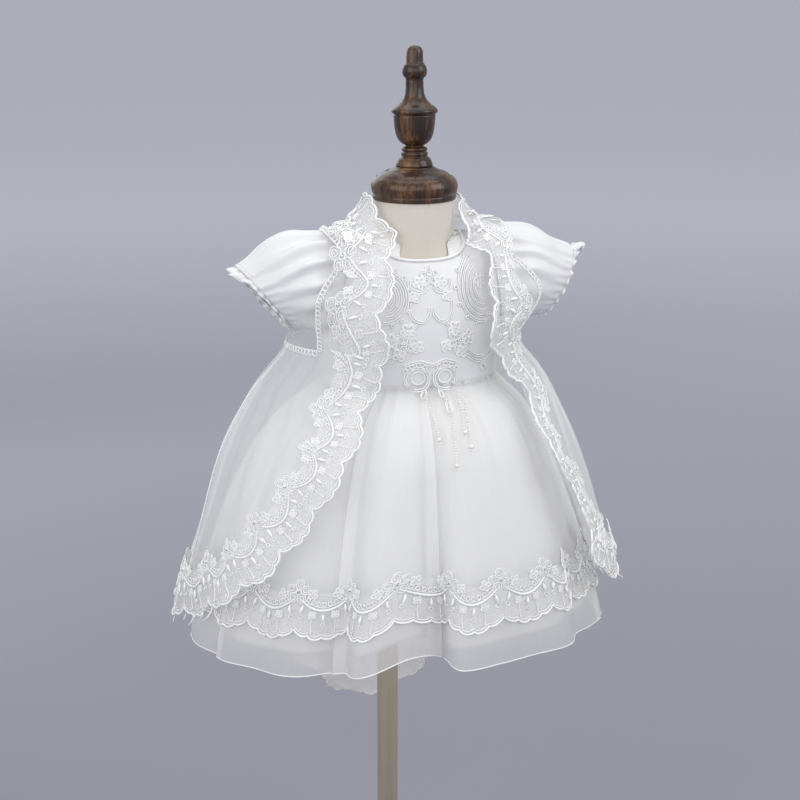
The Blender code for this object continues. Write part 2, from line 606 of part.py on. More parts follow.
def build_skirt_band(skirt, collection):
    """Scalloped lace lying on the overskirt, with a raised flower over every scallop."""
    lace = make_material("corded_lace", (0.97, 0.97, 0.97), 0.6)
    step = BAND_REPEATS / OVERSKIRT_COLUMNS
    sheet = []
    for i, rise in enumerate(BAND_ROWS):
        row = []
        for j in range(OVERSKIRT_COLUMNS):
            phase = (j * step) % 1.0
            lobe = math.sin(math.pi * phase)
            if i == 0:
                shift = BAND_SCALLOP * (BAND_HANG - lobe)
            else:
                shift = BAND_FLOWER * (0.5 + 0.5 * math.cos(2 * math.pi * phase)) ** 2 * (i == 2)
            row.append(on_column(skirt, OVERSKIRT_ROWS, j, rise + shift))
        sheet.append(row)
    outer, inner = [], []
    for i, row in enumerate(sheet):
        normals = [sheet_normal(sheet, i, j) for j in range(OVERSKIRT_COLUMNS)]
        raised = []
        for j in range(OVERSKIRT_COLUMNS):
            phase = (j * step) % 1.0
            raised.append(LACE_RELIEF * (phase == 0.0 if i == 2 else i == 1))
        inner.append([p + n * LACE_CLEARANCE for p, n in zip(row, normals)])
        outer.append([p + n * (LACE_CLEARANCE + LACE_WALL + r) for p, n, r in zip(row, normals, raised)])
    relief_grid("skirt_lace_band", outer, inner, lace, collection, closed=True)


# ---- cape --------------------------------------------------------------------------------
def cape_point(angle, row, out=0.0):
    """Point of the cape at an angle from the front and a row counted from the neck edge."""
    left, right, front, back, side_height, front_height, back_height = table_row(CAPE_SECTIONS, row)
    sine, cosine = math.sin(math.radians(angle)), math.cos(math.radians(angle))
    end_height = front_height if cosine > 0 else back_height
    stand = NECK_STAND * smooth_step(abs(angle_between(angle, 0)), *NECK_STAND_ANGLES) * max(0.0, 1.0 - row)
    if cosine < 0:
        cosine = math.cos(math.radians(angle + POINT_TURN * cosine * cosine))
    narrowing = POINT_SHARPNESS * smooth_step(row, *POINT_ROWS) if cosine < 0 else 0.0
    toward_end = abs(cosine) ** (2.0 + narrowing)
    height = side_height + (end_height - side_height) * toward_end + stand
    grow = smooth_step(row, *FOLD_ROWS)
    fold = CAPE_FOLD_DEPTH * grow * math.sin(math.radians(CAPE_FOLDS * angle + FOLD_TURN))
    return oval_point(angle, height, left, right, front, back, out + fold)


def front_edge(row, side):
    return table_row(CAPE_EDGE, row)[0 if side < 0 else 1]


def back_edge(angle):
    """Row of the cape's lower edge behind the side seams."""
    return CAPE_BACK_ROW - (CAPE_BACK_ROW - CAPE_SIDE_ROW) * math.sin(math.radians(angle)) ** 2


def build_cape(collection):
    organza = make_material("cape_organza", (0.96, 0.97, 0.98), 0.5)
    first, last, near, far = ARM_OPENING
    seam = CAPE_SEAM
    for name, side in (("right", -1), ("left", 1)):
        rows = []
        for row in reversed(FRONT_PANEL_ROWS):
            edge = abs(front_edge(row, side))
            opened = first < row < last
            reach = near if opened else 90 - seam
            angles = []
            for j in range(FRONT_PANEL_COLUMNS + 1):
                angle = edge + (near - edge) * j / (FRONT_PANEL_COLUMNS - 2)
                if edge >= near or row > FRONT_FULL_ROW:
                    angle = edge + (90 - seam - edge) * j / FRONT_PANEL_COLUMNS
                elif j > FRONT_PANEL_COLUMNS - 2:
                    angle = near + (90 - seam - near) * (j - FRONT_PANEL_COLUMNS + 2) / 2
                angles.append(min(angle, reach) * side)
            rows.append([cape_point(a, row) for a in (angles if side > 0 else reversed(angles))])
        heights = list(reversed(FRONT_PANEL_ROWS))

        def in_opening(i, j, heights=heights, side=side):
            column = j if side > 0 else FRONT_PANEL_COLUMNS - 1 - j
            return first <= heights[i + 1] and heights[i] <= last and column >= FRONT_PANEL_COLUMNS - 2

        cloth_grid("cape_front_" + name, rows, ORGANZA_WALL, organza, collection, skip=in_opening)
    span = 180 - 2 * seam
    rows = []
    for row in reversed(BACK_PANEL_ROWS):
        line = []
        for j in range(BACK_PANEL_COLUMNS + 1):
            angle = 90 + seam + span * j / BACK_PANEL_COLUMNS
            line.append(cape_point(angle, min(row, back_edge(angle))))
        rows.append(line)
    heights = list(reversed(BACK_PANEL_ROWS))
    step = span / BACK_PANEL_COLUMNS

    def in_back_opening(i, j):
        middle = 90 + step * (j + 0.5)
        beside = middle < far or middle > 360 - far
        return first <= heights[i + 1] and heights[i] <= last and beside

    cloth_grid("cape_back", rows, ORGANZA_WALL, organza, collection, skip=in_back_opening)


def cape_edge_path():
    """Angle and row along the whole outer edge, from the right front neck corner round the back."""
    rows = [CAPE_SIDE_ROW * i / EDGE_SAMPLES for i in range(EDGE_SAMPLES + 1)]
    right = [(front_edge(row, -1) % 360.0, row) for row in rows]
    left = [(front_edge(row, 1), row) for row in reversed(rows)]
    angles = [270 - 180 * i / EDGE_SAMPLES for i in range(1, EDGE_SAMPLES)]
    return right + [(angle, back_edge(angle)) for angle in angles] + left


def cape_frame(angle, row):
    """Point, its change per degree and per row, and the outward normal."""
    nudge = 0.05
    low = min(row, 8.0 - nudge)
    here = cape_point(angle, row)
    turn = (cape_point(angle + 1, row) - cape_point(angle - 1, row)) / 2
    down = (cape_point(angle, low + nudge) - cape_point(angle, low)) / nudge
    normal = down.cross(turn).normalized()
    return here, turn, down, normal


def walk_on_cape(angle, row, direction, distance):
    """Step across the cape's surface in one direction; gives the new angle and row."""
    for _ in range(WALK_STEPS):
        _, turn, down, normal = cape_frame(angle, row)
        step = (direction - normal * direction.dot(normal)).normalized() * distance / WALK_STEPS
        tt, td, dd = turn.dot(turn), turn.dot(down), down.dot(down)
        st, sd = step.dot(turn), step.dot(down)
        scale = tt * dd - td * td
        angle += (st * dd - sd * td) / scale
        row = max(0.0, row + (sd * tt - st * td) / scale)
    return angle, row


def lace_room(angle, row, width):
    """Width that the lace may take beside the arm opening."""
    first, last, near, _ = ARM_OPENING
    beside = smooth_step(row, first - 0.9, first - 0.2) * (1.0 - smooth_step(row, last + 0.2, last + 1.0))
    turn = cape_frame(angle, row)[1].length
    clear = max(EDGE_LACE_LEAST, (near - EDGE_LACE_ARM_CLEAR - abs(angle_between(angle, 0))) * turn)
    return width + (min(width, clear) - width) * beside


def lace_strip(path, repeats, span):
    """Scalloped strip along a path on the cape, its outer and inner points row by row."""
    points = [cape_point(angle, row) for angle, row in path]
    lengths = [0.0]
    for a, b in zip(points, points[1:]):
        lengths.append(lengths[-1] + (b - a).length)
    columns = repeats * EDGE_POINTS
    outer, inner = [[], [], []], [[], [], []]
    first, last = span
    for j in range(first * EDGE_POINTS, last * EDGE_POINTS + 1):
        place = lengths[-1] * j / columns
        if j == first * EDGE_POINTS and first > 0:
            place += LACE_SEAM
        if j == last * EDGE_POINTS and last < repeats:
            place -= LACE_SEAM
        i = max(0, min(len(points) - 2, sum(1 for value in lengths if value <= place) - 1))
        t = (place - lengths[i]) / (lengths[i + 1] - lengths[i])
        turn_by = angle_between(path[i + 1][0], path[i][0])
        angle, row = path[i][0] + turn_by * t, path[i][1] + (path[i + 1][1] - path[i][1]) * t
        normal = cape_frame(angle, row)[3]
        along = (points[min(i + 2, len(points) - 1)] - points[max(i - 1, 0)]).normalized()
        inward = normal.cross(along) * -1.0
        phase = (j % EDGE_POINTS) / EDGE_POINTS
        scallop = EDGE_LACE_OVERHANG * (2.0 * math.sin(math.pi * phase) - 1.0)
        bloom = EDGE_LACE_BLOOM * (0.5 + 0.5 * math.cos(2 * math.pi * phase)) ** 2
        room = lace_room(angle, row, EDGE_LACE_WIDTH)
        reaches = (-scallop, room * EDGE_LACE_MIDDLE, room * (EDGE_LACE_INNER + bloom))
        for k, reach in enumerate(reaches):
            a, r = walk_on_cape(angle, row, inward, reach)
            r = min(r, CAPE_BACK_ROW + LACE_PAST_EDGE)
            point, _, _, face = cape_frame(a, r)
            rise = LACE_RELIEF * (k == 1 or (k == 2 and phase == 0.0))
            inner[k].append(point + face * CAPE_LACE_CLEARANCE)
            outer[k].append(point + face * (CAPE_LACE_CLEARANCE + LACE_WALL + rise))
    return outer[::-1], inner[::-1]


def build_cape_lace(collection):
    lace = make_material("cape_lace", (0.97, 0.97, 0.97), 0.6)
    path = cape_edge_path()
    total = sum((cape_point(*b) - cape_point(*a)).length for a, b in zip(path, path[1:]))
    repeats = round(total / LACE_REPEAT)
    side = round(repeats * CAPE_LACE_SIDE_SHARE)
    spans = (("cape_lace_right", (0, side)), ("cape_lace_back", (side, repeats - side)),
             ("cape_lace_left", (repeats - side, repeats)))
    for name, span in spans:
        outer, inner = lace_strip(path, repeats, span)
        relief_grid(name, outer, inner, lace, collection)


# ---- raised lace on the bodice -----------------------------------------------------------
def motif_rise(angle, height, motifs):
    rise = 0.0
    for place_height, place_angle, half_width, half_height, lift in motifs:
        across = math.radians(angle - place_angle) * MOTIF_RADIUS / half_width
        away = math.hypot(across, (height - place_height) / half_height)
        rise = max(rise, lift * smooth_step(MOTIF_SPREAD - away, 0, MOTIF_FADE))
    return rise


def build_yoke_lace(lace, collection):
    neck = [(angle, top) for angle, top in FRONT_TOP if angle <= NECK_EDGE_ANGLE]
    top = [min(APPLIQUE_TOP, table_row(neck, abs(a))[0] - APPLIQUE_BELOW_NECK) for a in APPLIQUE_ANGLES]
    low = [APPLIQUE_LOW + APPLIQUE_WAVE * math.cos(math.radians(a * APPLIQUE_WAVES))
           for a in APPLIQUE_ANGLES]
    outer, inner = [], []
    for i in range(APPLIQUE_LEVELS):
        heights = [b + (a - b) * i / (APPLIQUE_LEVELS - 1) for a, b in zip(top, low)]
        inner.append([body_point(a, h, APPLIQUE_CLEARANCE) for a, h in zip(APPLIQUE_ANGLES, heights)])
        outer.append([body_point(a, h, APPLIQUE_CLEARANCE + APPLIQUE_WALL + motif_rise(a, h, YOKE_MOTIFS))
                      for a, h in zip(APPLIQUE_ANGLES, heights)])
    relief_grid("bodice_lace", outer, inner, lace, collection)


def waist_lace_row(height, out, motifs):
    """Row over the waist seam: on the bodice above it, outside the gathers below it."""
    front = table_row(BODY_SECTIONS, height)[1]
    skirt_front = table_row(SKIRT_SECTIONS, height)[2]
    lift = max(0.0, skirt_front - front) if height < WAIST_SEAM_TOP else 0.0
    narrow = 1.0 - WAIST_LACE_NARROWING * smooth_step(WAIST_SEAM_TOP - height, 0.004, 0.044)
    return [body_point(a * narrow, height, out + lift + motif_rise(a, height, motifs))
            for a in WAIST_LACE_ANGLES]


def build_waist_lace(lace, collection):
    inner = [waist_lace_row(height, WAIST_LACE_CLEARANCE, []) for height in WAIST_LACE_HEIGHTS]
    outer = [waist_lace_row(height, WAIST_LACE_CLEARANCE + APPLIQUE_WALL, WAIST_MOTIFS)
             for height in WAIST_LACE_HEIGHTS]
    relief_grid("waist_lace", outer, inner, lace, collection)


def build_bodice_lace(collection):
    lace = make_material("applique_lace", (0.98, 0.98, 0.98), 0.6)
    build_yoke_lace(lace, collection)
    build_waist_lace(lace, collection)


def main():
    clear_scene()
    gown = bpy.data.collections.new("christening_gown")
    bpy.context.scene.collection.children.link(gown)
    build_base(gown)
    build_pole(gown)
    build_form(gown)
    build_wood(gown)
    build_bodice(gown)
    build_neck_binding(gown)
    build_sleeves(gown)
    build_skirts(gown)
    build_cape(gown)
    build_cape_lace(gown)
    build_bodice_lace(gown)


main()
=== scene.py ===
# Christening gown with its organza cape on a limbless linen dress form, walnut cap and finial on top.
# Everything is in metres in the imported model's frame: +Z up, the front of the gown faces -Y.
import bisect
import math

import bmesh
import bpy
from mathutils import Matrix, Vector, noise


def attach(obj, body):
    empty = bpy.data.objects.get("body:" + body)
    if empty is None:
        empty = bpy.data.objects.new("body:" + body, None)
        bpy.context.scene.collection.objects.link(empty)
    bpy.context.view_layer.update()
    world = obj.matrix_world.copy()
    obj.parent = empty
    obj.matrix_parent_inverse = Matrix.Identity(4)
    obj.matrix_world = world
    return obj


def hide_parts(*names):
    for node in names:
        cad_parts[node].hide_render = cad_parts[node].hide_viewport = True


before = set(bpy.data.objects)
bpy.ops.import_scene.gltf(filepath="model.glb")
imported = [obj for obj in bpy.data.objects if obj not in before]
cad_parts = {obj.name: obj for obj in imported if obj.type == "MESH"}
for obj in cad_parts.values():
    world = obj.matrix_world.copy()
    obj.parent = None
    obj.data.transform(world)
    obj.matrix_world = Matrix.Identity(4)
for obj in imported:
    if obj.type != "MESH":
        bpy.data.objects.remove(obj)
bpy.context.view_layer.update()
scene = bpy.context.scene
print("frame loaded:", len(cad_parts), "nodes")


# small tools

def smoothStep(value, low, high):
    t = min(1.0, max(0.0, (value - low) / (high - low)))
    return t * t * (3.0 - 2.0 * t)


def tableRow(table, key):  # values at one key, on a smooth curve through the table's rows
    keys = [row[0] for row in table]
    key = min(keys[-1], max(keys[0], key))
    i = min(len(keys) - 2, max(0, sum(1 for k in keys if k <= key) - 1))
    step = keys[i + 1] - keys[i]
    t = (key - keys[i]) / step
    a, b, c, d = max(0, i - 1), i, i + 1, min(len(keys) - 1, i + 2)
    values = []
    for column in range(1, len(table[0])):
        p0, p1 = table[b][column], table[c][column]
        m0 = (table[c][column] - table[a][column]) / (keys[c] - keys[a]) * step
        m1 = (table[d][column] - table[b][column]) / (keys[d] - keys[b]) * step
        low, high = min(p0, p1), max(p0, p1)
        value = ((2 * t**3 - 3 * t**2 + 1) * p0 + (t**3 - 2 * t**2 + t) * m0
                 + (-2 * t**3 + 3 * t**2) * p1 + (t**3 - t**2) * m1)
        spare = 0.15 * (high - low)
        values.append(min(high + spare, max(low - spare, value)))
    return values


def angleBetween(angle, other):
    return (angle - other + 180.0) % 360.0 - 180.0


def wander(seed, place):  # soft uneven number from -1 to 1 that changes slowly with place
    return noise.noise(Vector((place, seed * 7.31, 2.7)))


def linear(hexColour):  # sRGB hex to the linear colour that shaders take
    parts = [int(hexColour[i:i + 2], 16) / 255 for i in (0, 2, 4)]
    return tuple(c / 12.92 if c <= 0.04045 else ((c + 0.055) / 1.055) ** 2.4 for c in parts) + (1.0,)


def addNode(tree, kind, inputs=None, links=None, **settings):
    node = tree.nodes.new(kind)
    for name, value in settings.items():
        setattr(node, name, value)
    for name, value in (inputs or {}).items():
        node.inputs[name].default_value = value
    for name, socket in (links or {}).items():
        tree.links.new(socket, node.inputs[name])
    return node


def startMaterial(name):  # empty node tree with its output
    material = bpy.data.materials.new(name)
    material.use_nodes = True
    tree = material.node_tree
    tree.nodes.clear()
    return material, tree, tree.nodes.new("ShaderNodeOutputMaterial")


def finishPiece(name, data, material, replaces=()):
    piece = bpy.data.objects.new(name, data)
    scene.collection.objects.link(piece)
    data.materials.append(material)
    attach(piece, "root")
    if replaces:
        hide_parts(*replaces)
    return piece


def meshFrom(bm, name, smooth=True):
    mesh = bpy.data.meshes.new(name)
    bm.to_mesh(mesh)
    bm.free()
    if smooth:
        mesh.shade_smooth()
    return mesh


def clothSheet(name, place, across, along, cut, closed=False, leaveOut=None):
    # grid whose corners run 0 to 1 both ways, laid on a shape by place(u, v); UV is in metres of cloth
    bm = bmesh.new()
    uvLayer = bm.loops.layers.uv.new("cut")
    bmesh.ops.create_grid(bm, x_segments=across, y_segments=along, size=0.5)
    if leaveOut:
        gone = [f for f in bm.faces if leaveOut(*(f.calc_center_median().xy + Vector((0.5, 0.5))))]
        bmesh.ops.delete(bm, geom=gone, context="FACES")
    for face in bm.faces:
        for loop in face.loops:
            x, y = loop.vert.co.xy
            loop[uvLayer].uv = ((x + 0.5) * cut[0], (y + 0.5) * cut[1])
    for vert in bm.verts:
        vert.co = place(vert.co.x + 0.5, vert.co.y + 0.5)
    if closed:
        bmesh.ops.remove_doubles(bm, verts=bm.verts, dist=0.00001)
    return meshFrom(bm, name)


def addWall(piece, wall):  # gives a sheet its thickness on the inner side
    thick = piece.modifiers.new("wall", "SOLIDIFY")
    thick.thickness = wall
    thick.offset = -1.0
    return piece


# camera, floor and light

def setCamera():
    view = {"azimuth": -19.0, "elevation": 14.0, "distance": 1.927, "height": 0.622, "aside": 0.0133, "lens": 85.0}
    a, e = math.radians(view["azimuth"]), math.radians(view["elevation"])
    right = Vector((math.cos(a), math.sin(a), 0))
    back = Vector((math.sin(a) * math.cos(e), -math.cos(a) * math.cos(e), math.sin(e)))
    up = back.cross(right)
    place = right * view["aside"] + Vector((0, 0, view["height"])) + back * view["distance"]
    camera = bpy.data.objects.new("camera", bpy.data.cameras.new("camera"))
    camera.data.lens = view["lens"]
    camera.data.sensor_width = 36
    camera.data.clip_end = 200
    turn = Matrix((right, up, back)).transposed().to_4x4()
    camera.matrix_world = Matrix.Translation(place) @ turn
    scene.collection.objects.link(camera)
    scene.camera = camera


def paleFloor():
    look = {"near": "90909B", "far": "E6E8F4", "size": 60.0}
    bm = bmesh.new()
    bmesh.ops.create_grid(bm, x_segments=1, y_segments=1, size=look["size"])
    floor = bpy.data.objects.new("floor", meshFrom(bm, "floor", smooth=False))
    scene.collection.objects.link(floor)
    material, tree, out = startMaterial("paper_floor_painted_falloff")  # matte grey-lilac paper
    place = addNode(tree, "ShaderNodeTexCoord")
    # painted shade: the floor's colour runs from darker grey-lilac near the stand to paler far away, standing in for
    # how the light falls off
    reach = addNode(tree, "ShaderNodeVectorMath", links={0: place.outputs["Object"]}, operation="LENGTH")
    ramp = addNode(tree, "ShaderNodeMapRange", {"From Min": 0.3, "From Max": 6.0}, {"Value": reach.outputs["Value"]},
                   interpolation_type="SMOOTHSTEP")
    colour = addNode(tree, "ShaderNodeMix", {6: linear(look["near"]), 7: linear(look["far"])},
                     {0: ramp.outputs[0]}, data_type="RGBA")
    paper = addNode(tree, "ShaderNodeBsdfDiffuse", {"Roughness": 0.6}, {"Color": colour.outputs[2]})
    tree.links.new(paper.outputs[0], out.inputs[0])
    floor.data.materials.append(material)


def softLight():
    studio = {"aim": (0.01, -0.03, 0.62), "air": "F6F7FA", "airStrength": 0.55, "layersSeenThrough": 32}
    boxes = [  # broad white softboxes: name, place, size, watts
        ("key_right", (1.45, -1.30, 1.75), 1.3, 21.0), ("fill_left", (-1.75, -0.9, 1.35), 1.6, 18.0),
        ("front", (-0.45, -2.3, 1.5), 1.5, 13.0), ("top", (0.1, 0.1, 2.4), 1.6, 13.0),
        ("behind", (-0.3, 1.9, 1.5), 1.4, 9.0),
    ]
    for name, place, size, watts in boxes:
        lamp = bpy.data.lights.new(name, "AREA")
        lamp.size = size
        lamp.energy = watts
        item = bpy.data.objects.new(name, lamp)
        item.location = place
        item.rotation_euler = (Vector(studio["aim"]) - Vector(place)).to_track_quat("-Z", "Y").to_euler()
        scene.collection.objects.link(item)
    world = bpy.data.worlds.new("studio")
    scene.world = world
    world.use_nodes = True
    background = world.node_tree.nodes["Background"]
    background.inputs["Color"].default_value = linear(studio["air"])
    background.inputs["Strength"].default_value = studio["airStrength"]
    scene.view_settings.view_transform = "Standard"
    scene.cycles.transparent_max_bounces = studio["layersSeenThrough"]  # many sheer layers lie behind each other


# materials of the stand and the form

def walnutMaterial():
    # dark stained walnut, turned and lacquered: thin lighter grain along the turning axis, wet gloss
    material, tree, out = startMaterial("lacquered_walnut")
    place = addNode(tree, "ShaderNodeTexCoord")
    stretch = addNode(tree, "ShaderNodeMapping", {"Scale": (1.0, 1.0, 0.16)}, {"Vector": place.outputs["Object"]})
    grain = addNode(tree, "ShaderNodeTexNoise", {"Scale": 420.0, "Detail": 6.0, "Roughness": 0.62},
                    {"Vector": stretch.outputs[0]})  # streaks about 2.5 mm wide
    broad = addNode(tree, "ShaderNodeTexNoise", {"Scale": 60.0, "Detail": 2.0}, {"Vector": stretch.outputs[0]})
    mixed = addNode(tree, "ShaderNodeMath", links={0: grain.outputs[0], 1: broad.outputs[0]}, operation="ADD")
    half = addNode(tree, "ShaderNodeMath", {1: 0.5}, {0: mixed.outputs[0]}, operation="MULTIPLY")
    ramp = addNode(tree, "ShaderNodeValToRGB", links={0: half.outputs[0]})
    ramp.color_ramp.elements[0].position, ramp.color_ramp.elements[1].position = 0.36, 0.66
    ramp.color_ramp.elements[0].color = linear("120A06")
    ramp.color_ramp.elements[1].color = linear("6B4726")
    ramp.color_ramp.elements.new(0.50).color = linear("2C1A0D")
    bump = addNode(tree, "ShaderNodeBump", {"Strength": 0.08, "Distance": 0.0002}, {"Height": grain.outputs[0]})
    wood = addNode(tree, "ShaderNodeBsdfPrincipled", {"Roughness": 0.42, "IOR": 1.5, "Coat Weight": 0.30,
                   "Coat Roughness": 0.12, "Specular IOR Level": 0.35},
                   {"Base Color": ramp.outputs[0], "Normal": bump.outputs[0]})
    tree.links.new(wood.outputs[0], out.inputs[0])
    return material


def linenMaterial():
    # unbleached linen stretched over the form: plain weave about 0.55 mm, slubs, matte
    material, tree, out = startMaterial("plain_weave_linen")
    place = addNode(tree, "ShaderNodeUVMap", uv_map="cut")
    threads = []
    for direction in ("X", "Y"):
        threads.append(addNode(tree, "ShaderNodeTexWave", {"Scale": 290.0, "Distortion": 0.7, "Detail": 1.0},
                               {"Vector": place.outputs[0]}, bands_direction=direction))
    weave = addNode(tree, "ShaderNodeMath", links={0: threads[0].outputs["Fac"], 1: threads[1].outputs["Fac"]},
                    operation="MAXIMUM")
    slub = addNode(tree, "ShaderNodeTexNoise", {"Scale": 900.0, "Detail": 4.0, "Roughness": 0.7},
                   {"Vector": place.outputs[0]})
    shade = addNode(tree, "ShaderNodeMath", links={0: weave.outputs[0], 1: slub.outputs[0]}, operation="MULTIPLY")
    ramp = addNode(tree, "ShaderNodeValToRGB", links={0: shade.outputs[0]})
    ramp.color_ramp.elements[0].position, ramp.color_ramp.elements[1].position = 0.15, 0.60
    ramp.color_ramp.elements[0].color = linear("BDB6AA")
    ramp.color_ramp.elements[1].color = linear("DCD7CE")
    bump = addNode(tree, "ShaderNodeBump", {"Strength": 0.35, "Distance": 0.0003}, {"Height": shade.outputs[0]})
    cloth = addNode(tree, "ShaderNodeBsdfPrincipled", {"Roughness": 0.88, "Sheen Weight": 0.25,
                    "Sheen Roughness": 0.5}, {"Base Color": ramp.outputs[0], "Normal": bump.outputs[0]})
    tree.links.new(cloth.outputs[0], out.inputs[0])
    return material


def nickelWithPaintedWarmReflection(name, polish):
    # nickel plate over steel, polished on the tube and satin on the base, with fine draw lines; its warm tan colour
    # is partly the plating's own tint and partly painted reflection of the warm room the polished metal mirrors
    material, tree, out = startMaterial(name)
    place = addNode(tree, "ShaderNodeTexCoord")
    stretch = addNode(tree, "ShaderNodeMapping", {"Scale": (1.0, 1.0, 0.02)}, {"Vector": place.outputs["Object"]})
    lines = addNode(tree, "ShaderNodeTexNoise", {"Scale": 1400.0, "Detail": 3.0}, {"Vector": stretch.outputs[0]})
    rough = addNode(tree, "ShaderNodeMapRange", {"To Min": polish - 0.03, "To Max": polish + 0.03},
                    {"Value": lines.outputs[0]})
    # partly painted reflection: this warm tan ramp stands in for warm surroundings seen in the metal, beside the
    # plating's own tint
    tint = addNode(tree, "ShaderNodeValToRGB", links={0: lines.outputs[0]})
    tint.color_ramp.elements[0].color = linear("DCCBAA")
    tint.color_ramp.elements[1].color = linear("F2E6CC")
    metal = addNode(tree, "ShaderNodeBsdfPrincipled", {"Metallic": 1.0},
                    {"Base Color": tint.outputs[0], "Roughness": rough.outputs[0]})
    tree.links.new(metal.outputs[0], out.inputs[0])
    return material


# materials of the gown

def satinMaterial(name="duchess_satin", tint="D6D6D8", rough=0.42):
    # polyester duchess satin: long smooth floats, a soft broad sheen, faint weave, slight handling marks
    material, tree, out = startMaterial(name)
    place = addNode(tree, "ShaderNodeTexCoord")
    weave = addNode(tree, "ShaderNodeTexNoise", {"Scale": 2600.0, "Detail": 2.0}, {"Vector": place.outputs["Object"]})
    crush = addNode(tree, "ShaderNodeTexNoise", {"Scale": 55.0, "Detail": 3.0, "Roughness": 0.55},
                    {"Vector": place.outputs["Object"]})  # soft dents about 15 mm across
    fine = addNode(tree, "ShaderNodeBump", {"Strength": 0.12, "Distance": 0.0001}, {"Height": weave.outputs[0]})
    soft = addNode(tree, "ShaderNodeBump", {"Strength": 0.30, "Distance": 0.0012},
                   {"Height": crush.outputs[0], "Normal": fine.outputs[0]})
    gloss = addNode(tree, "ShaderNodeMapRange", {"To Min": rough - 0.05, "To Max": rough + 0.08},
                    {"Value": weave.outputs[0]})
    satin = addNode(tree, "ShaderNodeBsdfPrincipled", {"Base Color": linear(tint), "Sheen Weight": 0.20,
                    "Sheen Roughness": 0.35, "Specular IOR Level": 0.5},
                    {"Roughness": gloss.outputs[0], "Normal": soft.outputs[0]})
    tree.links.new(satin.outputs[0], out.inputs[0])
    return material


def organzaMaterial(name, cover, tint="F8F8F8"):
    # polyester organza: crisp sheer plain weave. Its 0.1 mm threads are too fine to show, so the cloth is a
    # thin veil whose density wavers along the warp and weft; folded edges look denser where layers stack
    material, tree, out = startMaterial(name)
    place = addNode(tree, "ShaderNodeUVMap", uv_map="cut")
    stretch = addNode(tree, "ShaderNodeMapping", {"Scale": (1.0, 0.03, 1.0)}, {"Vector": place.outputs[0]})
    warp = addNode(tree, "ShaderNodeTexNoise", {"Scale": 900.0, "Detail": 3.0}, {"Vector": stretch.outputs[0]})
    density = addNode(tree, "ShaderNodeMapRange", {"From Min": 0.3, "From Max": 0.7, "To Min": cover - 0.012,
                      "To Max": cover + 0.012}, {"Value": warp.outputs[0]})
    veil = addNode(tree, "ShaderNodeBsdfPrincipled", {"Base Color": linear(tint), "Roughness": 0.5,
                   "Sheen Weight": 0.35, "Sheen Roughness": 0.3})
    glow = addNode(tree, "ShaderNodeBsdfTranslucent", {"Color": linear(tint)})
    threads = addNode(tree, "ShaderNodeMixShader", {0: 0.45}, {1: veil.outputs[0], 2: glow.outputs[0]})
    clear = addNode(tree, "ShaderNodeBsdfTransparent")
    sheer = addNode(tree, "ShaderNodeMixShader", links={0: density.outputs[0], 1: clear.outputs[0],
                                                        2: threads.outputs[0]})
    tree.links.new(sheer.outputs[0], out.inputs[0])
    return material


def netMaterial():
    # tulle ground of the lace, mostly open; its holes are drawn about 1.8 mm wide, coarser than real, to show
    material, tree, out = startMaterial("tulle_ground")
    place = addNode(tree, "ShaderNodeUVMap", uv_map="cut")
    holes = addNode(tree, "ShaderNodeTexVoronoi", {"Scale": 560.0, "Randomness": 0.75}, {"Vector": place.outputs[0]},
                    feature="DISTANCE_TO_EDGE")
    mesh = addNode(tree, "ShaderNodeMapRange", {"From Min": 0.05, "From Max": 0.26, "To Min": 0.46, "To Max": 0.14},
                   {"Value": holes.outputs["Distance"]})
    thread = addNode(tree, "ShaderNodeBsdfPrincipled", {"Base Color": linear("FCFCFB"), "Roughness": 0.6,
                     "Sheen Weight": 0.2})
    glow = addNode(tree, "ShaderNodeBsdfTranslucent", {"Color": linear("FCFCFB")})
    strand = addNode(tree, "ShaderNodeMixShader", {0: 0.30}, {1: thread.outputs[0], 2: glow.outputs[0]})
    clear = addNode(tree, "ShaderNodeBsdfTransparent")
    net = addNode(tree, "ShaderNodeMixShader", links={0: mesh.outputs[0], 1: clear.outputs[0], 2: strand.outputs[0]})
    tree.links.new(net.outputs[0], out.inputs[0])
    return material


def cordMaterial():
    # rayon embroidery cord, tightly twisted: bright white with a silky glint, 0.8 mm twist
    material, tree, out = startMaterial("twisted_rayon_cord")
    place = addNode(tree, "ShaderNodeTexCoord")
    twist = addNode(tree, "ShaderNodeTexNoise", {"Scale": 1300.0, "Detail": 2.0}, {"Vector": place.outputs["Object"]})
    bump = addNode(tree, "ShaderNodeBump", {"Strength": 0.25, "Distance": 0.0003}, {"Height": twist.outputs[0]})
    shade = addNode(tree, "ShaderNodeValToRGB", links={0: twist.outputs[0]})
    shade.color_ramp.elements[0].color = linear("F2F2F1")
    shade.color_ramp.elements[1].color = linear("FFFFFF")
    fibre = addNode(tree, "ShaderNodeBsdfPrincipled", {"Roughness": 0.40, "Sheen Weight": 0.50,
                    "Sheen Roughness": 0.4}, {"Base Color": shade.outputs[0], "Normal": bump.outputs[0]})
    glow = addNode(tree, "ShaderNodeBsdfTranslucent", {"Color": linear("FFFFFF")})
    cord = addNode(tree, "ShaderNodeMixShader", {0: 0.15}, {1: fibre.outputs[0], 2: glow.outputs[0]})
    tree.links.new(cord.outputs[0], out.inputs[0])
    return material


def pearlMaterial():
    # imitation pearl: white core under a clear nacre coat, small sharp highlight over a soft glow
    material, tree, out = startMaterial("pearl_lacquer_bead")
    place = addNode(tree, "ShaderNodeTexCoord")
    mottle = addNode(tree, "ShaderNodeTexNoise", {"Scale": 500.0}, {"Vector": place.outputs["Object"]})
    shade = addNode(tree, "ShaderNodeValToRGB", links={0: mottle.outputs[0]})
    shade.color_ramp.elements[0].color = linear("D3CEC8")
    shade.color_ramp.elements[1].color = linear("F6F4F0")
    bead = addNode(tree, "ShaderNodeBsdfPrincipled", {"Roughness": 0.25, "Coat Weight": 0.8, "Coat Roughness": 0.06},
                   {"Base Color": shade.outputs[0]})
    tree.links.new(bead.outputs[0], out.inputs[0])
    return material


